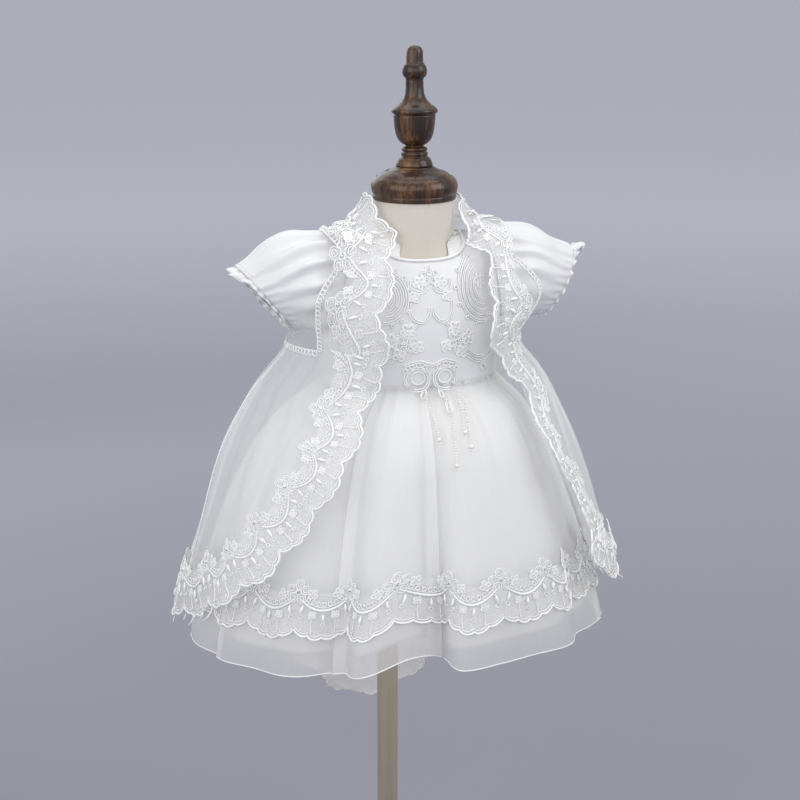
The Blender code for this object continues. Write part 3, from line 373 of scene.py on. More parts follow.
def stoneMaterial():
    # foil-backed glass stone: the light and dark flashes of its facets are painted into the colour as random grey
    # cells, under a glossy coat
    material, tree, out = startMaterial("foil_backed_glass_painted_flashes")
    place = addNode(tree, "ShaderNodeTexCoord")
    paintedFlashCells = addNode(tree, "ShaderNodeTexVoronoi", {"Scale": 900.0}, {"Vector": place.outputs["Object"]})
    # painted reflection: each cell's grey, dark to light, stands in for a facet catching the light or not
    shade = addNode(tree, "ShaderNodeValToRGB", links={0: paintedFlashCells.outputs["Color"]})
    shade.color_ramp.elements[0].color = linear("7E828C")
    shade.color_ramp.elements[1].color = linear("F2F4F8")
    stone = addNode(tree, "ShaderNodeBsdfPrincipled", {"Metallic": 0.85, "Roughness": 0.12, "Coat Weight": 1.0,
                    "Coat Roughness": 0.02}, {"Base Color": shade.outputs[0]})
    tree.links.new(stone.outputs[0], out.inputs[0])
    return material


# leaning centre line that form, gown and cape share

lean = {"hemLevel": 0.385, "neckLevel": 0.840, "atHem": (0.006, -0.024), "atNeck": (0.013, -0.046)}


def centre(height):
    t = (height - lean["hemLevel"]) / (lean["neckLevel"] - lean["hemLevel"])
    (x0, y0), (x1, y1) = lean["atHem"], lean["atNeck"]
    return x0 + (x1 - x0) * t, y0 + (y1 - y0) * t


def ovalPoint(angle, height, left, right, front, back, out=0.0):  # angle 0 is the front, + goes to +X
    sine, cosine = math.sin(math.radians(angle)), math.cos(math.radians(angle))
    halfWidth = (left + right) / 2 + (right - left) / 2 * sine + out
    depth = (front + back) / 2 + (front - back) / 2 * cosine + out
    x, y = centre(height)
    return Vector((x + halfWidth * sine, y - depth * cosine, height))


# stand: weighted base, pole, linen form, turned walnut

def turnedPiece(name, profile, place, material, node, steps=96):  # spins a profile of radius and height
    bm = bmesh.new()
    chain = [bm.verts.new((place[0] + radius, place[1], height)) for radius, height in profile]
    edges = [bm.edges.new(pair) for pair in zip(chain, chain[1:])]
    bmesh.ops.spin(bm, geom=chain + edges, cent=(place[0], place[1], 0), axis=(0, 0, 1), angle=math.tau,
                   steps=steps, use_merge=True)
    bmesh.ops.remove_doubles(bm, verts=bm.verts, dist=0.00002)
    bmesh.ops.recalc_face_normals(bm, faces=bm.faces)
    return finishPiece(name, meshFrom(bm, name), material, [node] if node else [])


def roundedProfile(points, radius, steps=3):  # softens the corners of a profile by small arcs
    soft = [Vector(points[0])]
    for a, b, c in zip(points, points[1:], points[2:]):
        a, b, c = Vector(a), Vector(b), Vector(c)
        reach = min(radius, (a - b).length * 0.45, (c - b).length * 0.45)
        start, end = b + (a - b).normalized() * reach, b + (c - b).normalized() * reach
        for i in range(steps + 1):
            t = i / steps
            soft.append(start * (1 - t) ** 2 + b * 2 * t * (1 - t) + end * t ** 2)
    soft.append(Vector(points[-1]))
    return [(p.x, p.y) for p in soft]


def standBase():
    base = {"radius": 0.130, "height": 0.014, "edge": 0.003, "socket": 0.019}
    r, h, e = base["radius"], base["height"], base["edge"]
    profile = [(0.0, 0.0), (r - e, 0.0), (r, e * 0.6), (r, h - e), (r - e * 1.6, h - 0.0004), (r * 0.75, h),
               (base["socket"], h), (base["socket"], h + 0.010), (base["socket"] - 0.004, h + 0.014),
               (0.0122, h + 0.0145), (0.0122, h - 0.0005), (0.0, h - 0.0005)]
    turnedPiece("stand_base", roundedProfile(profile, 0.0016), (0, 0), nickelWithPaintedWarmReflection("satin_nickel_base_painted_reflection", 0.30),
                "base", 128)


def standPole():
    pole = {"radius": 0.011, "low": 0.0143, "top": 0.552, "rings": (0.20, 0.38), "edge": 0.0006}
    r, low, top = pole["radius"], pole["low"], pole["top"]
    profile = [(0.0, low), (r, low)] + [(r, height) for height in pole["rings"]] + [(r, top), (0.0, top)]
    turnedPiece("stand_pole", roundedProfile(profile, pole["edge"], 2), (0, 0),
                nickelWithPaintedWarmReflection("polished_nickel_tube_painted_reflection", 0.16), "pole", 64)


formSections = [  # height, half width, front depth, back depth
    (0.5523, 0.030, 0.024, 0.022), (0.5560, 0.058, 0.046, 0.042), (0.5680, 0.076, 0.059, 0.053),
    (0.600, 0.0835, 0.0640, 0.0570), (0.640, 0.0830, 0.0630, 0.0555), (0.680, 0.0850, 0.0625, 0.0560),
    (0.720, 0.0850, 0.0580, 0.0550), (0.750, 0.0815, 0.0500, 0.0500), (0.767, 0.0740, 0.0410, 0.0420),
    (0.778, 0.0620, 0.0375, 0.0375), (0.786, 0.0480, 0.0375, 0.0375), (0.793, 0.0405, 0.0378, 0.0378),
    (0.808, 0.0388, 0.0382, 0.0382), (0.8405, 0.0385, 0.0385, 0.0385),
]


def linenForm():
    form = {"around": 120, "up": 110, "seamAngles": (0, 58, 122, 180, 238, 302), "seamDepth": 0.0007}
    low, high = formSections[0][0], formSections[-1][0]

    def place(u, v):
        angle, height = 360 * u, low + (high - low) * v
        width, front, back = tableRow(formSections, height)
        dip = sum(math.exp(-(angleBetween(angle, seam) / 0.9) ** 2) for seam in form["seamAngles"])
        return ovalPoint(angle, height, width, width, front, back, -form["seamDepth"] * dip)

    mesh = clothSheet("linen_form", place, form["around"], form["up"], (0.52, 0.30), closed=True)
    bm = bmesh.new()
    bm.from_mesh(mesh)
    rims = [e for e in bm.edges if e.is_boundary]
    bmesh.ops.holes_fill(bm, edges=rims, sides=0)
    bm.to_mesh(mesh)
    bm.free()
    mesh.shade_smooth()
    finishPiece("linen_form", mesh, linenMaterial(), ["form"])


capProfile = [  # radius, height of the neck cap; its lower lip hangs a little over the linen
    (0.0000, 0.8409), (0.0388, 0.8409), (0.0388, 0.8342), (0.0396, 0.8336), (0.0404, 0.8348), (0.0406, 0.8382),
    (0.0400, 0.8390), (0.0412, 0.8408), (0.0421, 0.8445), (0.0423, 0.8475), (0.0415, 0.8508), (0.0397, 0.8537),
    (0.0372, 0.8560), (0.0365, 0.8554), (0.0357, 0.8563), (0.0328, 0.8588), (0.0290, 0.8608), (0.0262, 0.8616),
    (0.0256, 0.8609), (0.0248, 0.8616), (0.0216, 0.8634), (0.0196, 0.8643), (0.0190, 0.8653), (0.0000, 0.8653),
]
finialProfile = [
    (0.0000, 0.8656), (0.0176, 0.8656), (0.0179, 0.8668), (0.0173, 0.8692), (0.0160, 0.8722), (0.0142, 0.8742),
    (0.0127, 0.8750), (0.0124, 0.8757), (0.0131, 0.8769), (0.0131, 0.8785), (0.0119, 0.8796), (0.0116, 0.8801),
    (0.0125, 0.8812), (0.0125, 0.8828), (0.0114, 0.8840), (0.0092, 0.8848), (0.0086, 0.8858), (0.0108, 0.8866),
    (0.0136, 0.8885), (0.0161, 0.8915), (0.0180, 0.8960), (0.0192, 0.9010), (0.0198, 0.9060), (0.0201, 0.9110),
    (0.0204, 0.9148), (0.0199, 0.9154), (0.0206, 0.9160), (0.0219, 0.9170), (0.0225, 0.9186), (0.0222, 0.9202),
    (0.0211, 0.9214), (0.0189, 0.9232), (0.0158, 0.9252), (0.0129, 0.9280), (0.0107, 0.9315), (0.0094, 0.9355),
    (0.0087, 0.9410), (0.0085, 0.9480), (0.0090, 0.9500), (0.0105, 0.9512), (0.0117, 0.9535), (0.0121, 0.9565),
    (0.0117, 0.9595), (0.0104, 0.9622), (0.0090, 0.9636), (0.0083, 0.9645), (0.0082, 0.9700), (0.0080, 0.9745),
    (0.0070, 0.9780), (0.0045, 0.9800), (0.0000, 0.9805),
]


def turnedWood():
    place = centre(lean["neckLevel"])
    walnut = walnutMaterial()
    turnedPiece("walnut_cap", roundedProfile(capProfile, 0.0006, 2), place, walnut, "neck_cap")
    turnedPiece("walnut_finial", roundedProfile(finialProfile, 0.0005, 2), place, walnut, "finial")


# bodice

bodySections = [  # height, half width, front depth, back depth
    (0.560, 0.0885, 0.0680, 0.0610), (0.656, 0.0895, 0.0690, 0.0615), (0.700, 0.0915, 0.0680, 0.0620),
    (0.735, 0.0915, 0.0630, 0.0610), (0.762, 0.0900, 0.0545, 0.0560), (0.780, 0.0870, 0.0445, 0.0470),
    (0.790, 0.0840, 0.0310, 0.0360), (0.7975, 0.0800, 0.0090, 0.0120), (0.8000, 0.0785, 0.0014, 0.0014),
]
frontTop = [  # angle, height of the top edge: neckline, shoulder seam, armhole, side seam
    (0, 0.7790), (8, 0.7792), (16, 0.7805), (24, 0.7840), (31, 0.7900), (37, 0.7990), (44, 0.8000),
    (51, 0.7998), (58.2, 0.7990), (59.2, 0.7770), (61.5, 0.7560), (66, 0.7360), (74, 0.7215),
    (82, 0.7140), (90, 0.7120),
]
backTop = [  # the same as in front from the shoulder outwards
    (0, 0.7850), (8, 0.7852), (16, 0.7862), (24, 0.7885), (31, 0.7930),
] + frontTop[5:]
waist = {"level": 0.656, "dip": 0.006, "gap": 0.0003, "tuck": 0.0035, "pullIn": 0.0016}


def bodyPoint(angle, height, out=0.0):
    width, front, back = tableRow(bodySections, height)
    return ovalPoint(angle, height, width, width, front, back, out)


def waistHeight(angle):
    return waist["level"] + waist["dip"] * max(0.0, math.cos(math.radians(angle)))


def lineTable(table, key):  # straight between rows, for edges with corners
    key = min(table[-1][0], max(table[0][0], key))
    for (a, p), (b, q) in zip(table, table[1:]):
        if key <= b:
            return p + (q - p) * (key - a) / (b - a)
    return table[-1][1]


def bodice():
    cut = {"wall": 0.0010, "up": 40, "seam": 0.13, "frontCut": (0.25, 0.150), "backCut": (0.13, 0.150),
           "frontArea": 0.0300, "backArea": 0.0160}
    satin = satinMaterial()

    def panel(name, angles, table, flat, area, node):
        angles = sorted(set(angles))

        def place(u, v):
            spot = u * (len(angles) - 1)
            i = min(len(angles) - 2, int(spot))
            angle = angles[i] + (angles[i + 1] - angles[i]) * (spot - i)
            fromMiddle = abs(angle) if abs(angle) <= 90 else abs(180 - angle)
            low, top = waistHeight(angle) - waist["tuck"], lineTable(table, fromMiddle)
            level = v ** 0.85
            crease = 0.0006 * wander(3, angle * 0.09 + level * 2.0) * smoothStep(level, 0.0, 0.3)
            return bodyPoint(angle, low + (top - low) * level, crease)

        mesh = clothSheet(name, place, 2 * (len(angles) - 1), cut["up"], flat)
        piece = addWall(finishPiece(name, mesh, satin, [node]), cut["wall"])

    gap = cut["seam"]
    half = [a for a, _ in frontTop if a < 90] + [58.7, 3, 12, 20, 28, 34, 40, 47, 54, 60.3, 64, 70, 78, 86, 90 - gap]
    front = [-a for a in half if a > 0] + half
    back = [max(gap, a) for a in half]
    panel("bodice_front_panel", front, frontTop, cut["frontCut"], cut["frontArea"], "bodice_front")
    for name, angles in (("left", [180 - a for a in back]), ("right", [180 + a for a in back])):
        panel("bodice_back_panel_" + name, angles, backTop, cut["backCut"], cut["backArea"], "bodice_back_" + name)


def cordCurve(name, runs, thickness, material, replaces=(), sides=0):
    # one curve object of many cords; a run is (points, closed) or (points, closed, widths along it)
    curve = bpy.data.curves.new(name, "CURVE")
    curve.dimensions = "3D"
    curve.bevel_depth = thickness
    curve.bevel_resolution = sides
    for run in runs:
        points, closed = run[0], run[1]
        widths = run[2] if len(run) > 2 else [1.0] * len(points)
        spline = curve.splines.new("POLY")
        spline.points.add(len(points) - 1)
        for target, point, width in zip(spline.points, points, widths):
            target.co = (*point, 1.0)
            target.radius = width
        spline.use_cyclic_u = closed
        spline.use_smooth = True
    curve.use_fill_caps = True
    return finishPiece(name, curve, material, replaces)


def neckBinding():
    edge = {"radius": 0.0016, "lift": 0.0010, "last": 37, "shoulder": 0.7990}
    lift = Vector((0, 0, edge["lift"]))
    angles = [i * 2 for i in range(180)]
    points = []
    for angle in angles:
        front = abs(angleBetween(angle, 0))
        table = frontTop if front <= 90 else backTop
        fromMiddle = front if front <= 90 else 180 - front
        if fromMiddle > edge["last"]:
            across = (front - edge["last"]) / (180 - 2 * edge["last"])  # over the shoulder from front to back
            side = 1 if angleBetween(angle, 0) > 0 else -1
            start = bodyPoint(side * edge["last"], edge["shoulder"])
            end = bodyPoint(side * (180 - edge["last"]), edge["shoulder"])
            points.append(start.lerp(end, across) + lift)
            continue
        points.append(bodyPoint(angle, tableRow(table, fromMiddle)[0]) + lift)
    satin = satinMaterial("satin_bias_binding", "E2E2E3", 0.40)
    cordCurve("neck_bias_binding", [(points, True)], edge["radius"], satin, ["neck_binding"], 2)
    # lining turned inside the neckline, lying towards the form
    facing = {"below": 0.0008, "fall": 0.0035, "clear": 0.0012, "rows": 6, "flat": (0.30, 0.012)}

    def place(u, v):
        i = int(u * len(points)) % len(points)
        start = points[i] - Vector((0, 0, facing["below"]))
        angle, height = angles[i], start.z - facing["fall"] * v
        width, front, back = tableRow(formSections, height)
        end = ovalPoint(angle, height, width, width, front, back, facing["clear"])
        return start.lerp(end, v)

    mesh = clothSheet("neck_facing", place, len(points), facing["rows"], facing["flat"], closed=True)
    lining = finishPiece("neck_facing", mesh, satin)


# puff sleeves

sleeveSections = {  # outward place, back shift, height, half height, half depth, droop of the opening in degrees
    1: [(0.0990, 0.004, 0.7565, 0.0470, 0.0395, 0), (0.1130, 0.008, 0.7535, 0.0475, 0.0430, 6),
        (0.1300, 0.013, 0.7490, 0.0455, 0.0435, 14), (0.1460, 0.017, 0.7445, 0.0415, 0.0400, 21),
        (0.1590, 0.020, 0.7410, 0.0385, 0.0340, 27)],
    -1: [(0.0985, 0.004, 0.7565, 0.0470, 0.0395, 0), (0.1090, 0.008, 0.7535, 0.0475, 0.0430, 9),
         (0.1220, 0.013, 0.7490, 0.0455, 0.0435, 21), (0.1350, 0.017, 0.7445, 0.0425, 0.0400, 31),
         (0.1460, 0.020, 0.7410, 0.0405, 0.0340, 40)],
}
sleeveLevel = 0.7565
sleeveCreases = [  # turn, spread and height of the soft ridges that start at the shoulder seam
    (0.05, 0.10, 0.0040), (0.36, 0.08, 0.0046), (0.66, 0.10, 0.0052), (1.02, 0.09, 0.0044), (1.40, 0.12, 0.0040),
    (1.85, 0.14, 0.0034), (2.45, 0.20, 0.0026), (3.50, 0.22, 0.0024), (4.35, 0.16, 0.0032), (4.85, 0.12, 0.0038),
    (5.35, 0.10, 0.0044), (5.80, 0.10, 0.0046),
]
sleeveCloth = {"ridges": {1: 1.0, -1: 1.5}, "puff": {1: 0.0010, -1: 0.0056}, "seamShare": 0.14, "seamBulge": 0.0015,
               "gathers": 30, "gatherDepth": 0.0011, "uneven": 0.0016, "sink": 0.0020}
armEdge = [  # height, outward place of the armhole edge
    (0.7120, 0.0915), (0.7140, 0.0906), (0.7215, 0.0880), (0.7360, 0.0836), (0.7560, 0.0792),
    (0.7770, 0.0752), (0.7990, 0.0675),
]


def armholePoint(turn):  # turn 0 is the top, a quarter turn is the front
    middle, half, seam = 0.7555, 0.0435, 0.0014
    sine, cosine = math.sin(turn), math.cos(turn)
    height = middle + half * cosine
    across = tableRow(armEdge, height)[0]
    width, front, back = tableRow(bodySections, height)
    depth = front if sine > 0 else back
    reach = math.sqrt(max(0.0, 1.0 - (across / width) ** 2))
    return Vector((across + seam, -math.copysign(depth * reach, sine) - seam * sine, height + seam * cosine))


def ringPoint(section, turn, swell, reach=0.0):
    across, shift, height, halfHeight, halfDepth, droop = section
    sine, cosine = math.sin(math.radians(droop)), math.cos(math.radians(droop))
    up = (halfHeight + swell) * math.cos(turn)
    return Vector((across + up * sine + reach * cosine, shift - (halfDepth + swell) * math.sin(turn),
                   height + up * cosine - reach * sine))


def sleevePoint(turn, step, side):  # step 0 is the armhole seam, 1 the elastic
    sections, cloth = sleeveSections[side], sleeveCloth
    first = sections[0]
    grown = smoothStep(step, 0.0, 0.10) * (1.0 - 0.75 * smoothStep(step, 0.35, 0.97))
    swell = 0.0
    for place, spread, rise in sleeveCreases:
        sway = 0.16 * wander(side * 5, place * 3 + step * 1.5)
        spread = spread * (0.85 + 0.8 * step)
        gap = (turn - place - sway + math.pi) % math.tau - math.pi
        swell += rise * grown * cloth["ridges"][side] * math.exp(-(gap / spread) ** 2)
    tight = smoothStep(step, 0.66, 0.94)  # fine gathers drawn in by the elastic
    gather = (math.sin(cloth["gathers"] * turn + 1.6 * wander(side * 3 + 1, turn * 1.7))
              * (0.6 + 0.5 * wander(side + 9, turn * 2.3)))
    swell += tight * (1.0 - 0.45 * smoothStep(step, 0.95, 1.0)) * cloth["gatherDepth"] * gather
    swell += cloth["uneven"] * wander(side * 2 + 4, 1.3 * math.cos(turn) + 3.1 * step) * smoothStep(step, 0.1, 0.3)
    swell -= cloth["sink"] * (1.0 - tight)
    swell += (cloth["puff"][side] * smoothStep(step, 0.12, 0.45) * (1.0 - smoothStep(step, 0.62, 0.95))
              * max(0.0, math.cos(turn)) ** 1.5)  # the high sleeve head
    if step < cloth["seamShare"]:
        start, end = armholePoint(turn), ringPoint(first, turn, swell)
        t = step / cloth["seamShare"]
        bulge = math.sin(math.pi * t) * cloth["seamBulge"]
        point = start.lerp(end, t) + Vector((0, -math.sin(turn) * bulge, math.cos(turn) * bulge))
    else:
        across = first[0] + (sections[-1][0] - first[0]) * (step - cloth["seamShare"]) / (1.0 - cloth["seamShare"])
        point = ringPoint([across] + tableRow(sections, across), turn, swell)
    x, y = centre(sleeveLevel)
    return Vector((x + side * point.x, y + point.y, point.z))


def puffSleeves():
    cut = {"around": 192, "along": 48, "wall": 0.0009, "flat": (0.31, 0.084)}
    frill = {"columns": 300, "rows": 8, "waves": 21, "gap": -0.0012, "length": 0.0130, "flare": 0.0075,
             "depth": 0.0060, "bunchTurn": {1: 0.15, -1: 0.35}, "bunchSpread": 0.42, "least": 0.34, "bunch": 0.66,
             "wall": 0.0006, "flat": (0.30, 0.011), "area": 0.0017}
    seam = {"count": 120, "out": 0.0002, "radius": 0.0015, "stitchAt": 0.955, "stitch": 0.00035}
    satin = satinMaterial("sleeve_satin", "D8D8DA", 0.44)
    x, y = centre(sleeveLevel)
    for name, side in (("right", -1), ("left", 1)):
        def place(u, v, side=side):
            return sleevePoint(math.tau * (u if side > 0 else 1 - u), v, side)

        mesh = clothSheet("puff_sleeve_" + name, place, cut["around"], cut["along"], cut["flat"], closed=True)
        sleeve = addWall(finishPiece("puff_sleeve_" + name, mesh, satin, ["sleeve_" + name]), cut["wall"])

        def ruffle(u, v, side=side):
            turn = math.tau * (u if side > 0 else 1 - u)
            fromTop = (turn - frill["bunchTurn"][side] + math.pi) % math.tau - math.pi
            high = frill["least"] + frill["bunch"] * math.exp(-(fromTop / frill["bunchSpread"]) ** 2)
            uneven = (0.55 + 0.8 * wander(side * 11, turn * 2.0)) * (0.25 + 0.75 * high)
            wave = frill["depth"] * v * uneven * math.sin(frill["waves"] * turn + 4.0 * wander(side + 6, turn * 1.5))
            spread = frill["flare"] * smoothStep(v, 0.0, 0.8) * high ** 2 + wave - frill["wall"]
            reach = frill["gap"] + frill["length"] * high * v * (0.9 + 0.5 * wander(side * 8, turn * 4))
            point = ringPoint(sleeveSections[side][-1], turn, spread, reach)
            return Vector((x + side * point.x, y + point.y, point.z))

        mesh = clothSheet("cuff_ruffle_" + name, ruffle, frill["columns"], frill["rows"], frill["flat"], closed=True)
        ruched = finishPiece("cuff_ruffle_" + name, mesh, satin, ["cuff_frill_" + name])
        addWall(ruched, frill["wall"])
        welt = []
        for i in range(seam["count"]):
            spot = armholePoint(math.tau * i / seam["count"])
            welt.append(Vector((x + side * (spot.x + seam["out"]), y + spot.y * 1.006, spot.z)))
        cordCurve("armhole_seam_welt_" + name, [(welt, True)], seam["radius"], satin, sides=1)
        rim = [place(i / 240, seam["stitchAt"]) for i in range(240)]
        cordCurve("sleeve_elastic_stitch_" + name, [(rim, True)], seam["stitch"], satin)


# skirts

skirtSections = [  # height, left half width, right half width, front depth, back depth
    (0.385, 0.2160, 0.2150, 0.1620, 0.1500), (0.420, 0.2130, 0.2060, 0.1580, 0.1460),
    (0.470, 0.2030, 0.1910, 0.1500, 0.1380), (0.520, 0.1890, 0.1730, 0.1380, 0.1270),
    (0.565, 0.1720, 0.1540, 0.1250, 0.1140), (0.600, 0.1530, 0.1370, 0.1120, 0.1010),
    (0.630, 0.1260, 0.1170, 0.0930, 0.0840), (0.648, 0.1000, 0.0980, 0.0760, 0.0680),
    (0.6565, 0.0915, 0.0915, 0.0710, 0.0635), (0.664, 0.0910, 0.0910, 0.0705, 0.0630),
]
skirtFolds = [  # angle from the front, half spread in degrees, rise at the hem, sideways lean
    (-66, 12, 0.007, 0), (-47, 9, 0.006, 2), (-32, 5, -0.006, 2), (-20, 8, 0.013, -4), (-4, 5, -0.018, 3),
    (7, 8, 0.011, -4), (33, 10, 0.007, 2), (52, 8, -0.006, 0), (70, 10, 0.005, 2), (92, 10, -0.006, 0),
    (116, 12, 0.008, 3), (136, 9, -0.010, 0), (154, 10, 0.010, -3), (174, 10, -0.008, 0), (-166, 10, 0.010, 4),
    (-146, 9, -0.010, 0), (-128, 11, 0.009, 3), (-106, 10, -0.006, 0), (-86, 9, 0.004, -2),
]
overSkirt = {"hem": 0.387, "hemRise": 0.012, "hemLifts": ((-100, 38, 0.014), (-11, 7, 0.014)),
             "around": 720, "up": 72, "flat": (1.50, 0.275), "area": 0.330, "gathers": 46, "gatherDepth": 0.0018,
             "ridges": 0.0062, "hemRoll": 0.0007, "hemPoints": 900, "layer": 0.0016, "ease": 7.0, "start": -92}
pleats = [  # angle of the folded edge, degrees turned under, 1 when the upper layer lies on the + side
    (-71, 2.5, 1), (-34.5, 4.0, 1), (-4.0, 4.0, -1), (66, 2.0, -1), (104, 2.5, 1), (143, 2.5, -1), (183, 3.0, 1),
    (208, 2.5, -1), (247, 2.5, 1),
]
underSkirt = {"hem": 0.402, "inset": 0.0050, "hemInset": 0.0140, "folds": 0.8, "around": 300, "up": 48,
              "wall": 0.0008, "flat": (1.24, 0.260), "area": 0.260}


def hemHeight(angle, hem):
    height = hem + overSkirt["hemRise"] * max(0.0, math.cos(math.radians(angle)))
    for place, spread, lift in overSkirt["hemLifts"]:
        height += lift * math.exp(-(angleBetween(angle, place) / spread) ** 2)
    return height


def skirtPoint(angle, drop, hem, inset=0.0, folds=1.0, fine=1.0, seed=0):  # drop is 0 at the waist, 1 at the hem
    top = waistHeight(angle) - waist["gap"]
    bottom = hemHeight(angle, hem)
    height = top + (bottom - top) * drop
    out, sway = 0.0, 0.0
    for place, width, rise, sideways in skirtFolds:
        bump = folds * math.exp(-(angleBetween(angle, place) / width) ** 2) * drop ** 1.2
        out += rise * bump
        sway += sideways * bump
    turn = math.radians(angle)
    uneven = 2.2 * noise.noise(Vector((math.cos(turn) * 2.1, math.sin(turn) * 2.1, 1.7 + seed)))
    depth = noise.noise(Vector((math.cos(turn) * 4.0, math.sin(turn) * 4.0, 6.1 + seed)))
    fade = max(0.0, 1.0 - 2.6 * drop) * smoothStep(drop, -0.02, 0.03)
    gather = math.sin(overSkirt["gathers"] * turn + uneven)
    out += fine * overSkirt["gatherDepth"] * fade * (0.8 + 0.9 * depth) * gather
    soft = noise.noise(Vector((math.cos(turn) * 5.2, math.sin(turn) * 5.2, 3.3 + seed + 0.5 * drop)))
    out += fine * overSkirt["ridges"] * soft * smoothStep(drop, 0.05, 0.5)  # uneven troughs
    out -= waist["pullIn"] * (1.0 - smoothStep(drop, 0.0, 0.022))
    left, right, front, back = tableRow(skirtSections, height)
    return ovalPoint(angle + sway, height, left, right, front, back, out - inset)


def pleatPath():  # run along the cloth, angle and layers above it, at every knot of the pleated line
    line = [(overSkirt["start"], 0.0)]
    ease = overSkirt["ease"]
    for angle, deep, side in pleats:
        if side > 0:
            line += [(angle - ease, 0.0), (angle, 2.0), (angle + deep, 2.0), (angle + deep + 0.2, 1.5),
                     (angle + deep, 1.0), (angle, 1.0), (angle - 0.2, 0.5), (angle, 0.0)]
        else:
            line += [(angle, 0.0), (angle + 0.2, 0.5), (angle, 1.0), (angle - deep, 1.0),
                     (angle - deep - 0.2, 1.5), (angle - deep, 2.0), (angle, 2.0), (angle + ease, 0.0)]
    line.append((overSkirt["start"] + 360, 0.0))
    knots, run = [], 0.0
    for i, (angle, layers) in enumerate(line):
        run += abs(angle - line[i - 1][0]) if i else 0.0
        knots.append((run, angle, layers))
    return knots


def skirts():
    taffeta = satinMaterial("lining_taffeta", "D9D9D8", 0.50)
    organza = organzaMaterial("skirt_organza", 0.52)

    knots = pleatPath()
    runs, turns, covers = [[k[i] for k in knots] for i in range(3)]

    def outer(u, v):
        run = u * runs[-1]
        i = min(len(runs) - 2, max(0, bisect.bisect_right(runs, run) - 1))
        t = (run - runs[i]) / max(0.0001, runs[i + 1] - runs[i])
        layers = covers[i] + (covers[i + 1] - covers[i]) * smoothStep(t, 0, 1)
        inset = overSkirt["layer"] * layers * smoothStep(1 - v, 0.0, 0.12)
        return skirtPoint(turns[i] + (turns[i + 1] - turns[i]) * t, 1 - v, overSkirt["hem"], inset)

    mesh = clothSheet("organza_skirt", outer, overSkirt["around"], overSkirt["up"], overSkirt["flat"], closed=True)
    skirt = finishPiece("organza_skirt", mesh, organza, ["overskirt"])
    hem = [outer(i / overSkirt["hemPoints"], 0.0) for i in range(overSkirt["hemPoints"])]
    rolled = cordCurve("organza_rolled_hem", [(hem, True)], overSkirt["hemRoll"], cordMaterial())

    def inner(u, v):
        drop = 1 - v
        inset = underSkirt["inset"] + (underSkirt["hemInset"] - underSkirt["inset"]) * smoothStep(drop, 0.0, 0.6)
        return skirtPoint(360 * u, drop, underSkirt["hem"], inset, underSkirt["folds"], 0.6, 4)

    mesh = clothSheet("taffeta_underskirt", inner, underSkirt["around"], underSkirt["up"], underSkirt["flat"],
                      closed=True)
    lining = finishPiece("taffeta_underskirt", mesh, taffeta, ["underskirt"])
    addWall(lining, underSkirt["wall"])


# organza cape

capeSections = [  # row, left and right half width, front and back depth, height at side, front, back
    (0.0, 0.0445, 0.0445, 0.0465, 0.0455, 0.8075, 0.7870, 0.8150),
    (1.0, 0.0640, 0.0640, 0.0640, 0.0600, 0.8085, 0.7600, 0.8000),
    (2.0, 0.0920, 0.0920, 0.0765, 0.0750, 0.8070, 0.7300, 0.7700),
    (2.5, 0.1250, 0.1400, 0.0820, 0.0850, 0.7560, 0.7120, 0.7400),
    (3.0, 0.1240, 0.1120, 0.0800, 0.0830, 0.6975, 0.6950, 0.7100),
    (4.0, 0.1560, 0.1400, 0.0820, 0.0880, 0.6500, 0.6550, 0.6500),
    (5.0, 0.1860, 0.1680, 0.1240, 0.1300, 0.5900, 0.6000, 0.5700),
    (6.0, 0.2060, 0.1960, 0.1500, 0.1660, 0.5200, 0.5400, 0.4700),
    (7.0, 0.2210, 0.2150, 0.1740, 0.1800, 0.4660, 0.4700, 0.3500),
    (8.0, 0.2260, 0.2200, 0.1840, 0.1780, 0.4210, 0.4300, 0.2340),
]
capeEdge = [  # row, angle of the wearer's right front edge and of the left one
    (0.0, -50.0, 68.0), (1.0, -45.0, 64.0), (2.0, -35.0, 50.0), (2.5, -30.0, 31.0), (3.0, -27.0, 40.0),
    (4.0, -27.0, 42.0), (5.0, -32.0, 39.0), (6.0, -45.0, 48.0), (6.6, -56.0, 48.0), (7.0, -65.0, 52.0),
    (7.3, -73.0, 61.0), (7.6, -82.0, 77.0), (7.8, -89.8, 89.8),
]
cape = {"pointTurn": 8.0, "pointSharpness": 3.0, "pointRow": 6.0, "neckStand": 0.022, "sideRow": 7.8, "backRow": 8.0,
        "folds": 11, "foldDepth": 0.0035, "waves": 0.0030, "armRows": (2.0, 3.0), "armAngles": (60.0, 128.0),
        "armShare": 0.75, "seam": 0.35, "frontGrid": (48, 78), "backGrid": (180, 80), "stitch": 0.0006,
        "frontFlat": (0.20, 0.46), "frontArea": 0.045, "backFlat": (0.62, 0.56), "backArea": 0.245}
underArmFolds = [  # angle to either side, half spread, rise
    (56, 3.0, 0.0040), (67, 3.4, 0.0062), (79, 2.6, 0.0050), (91, 3.2, 0.0060), (104, 3.0, 0.0050),
    (118, 3.6, 0.0055),
]


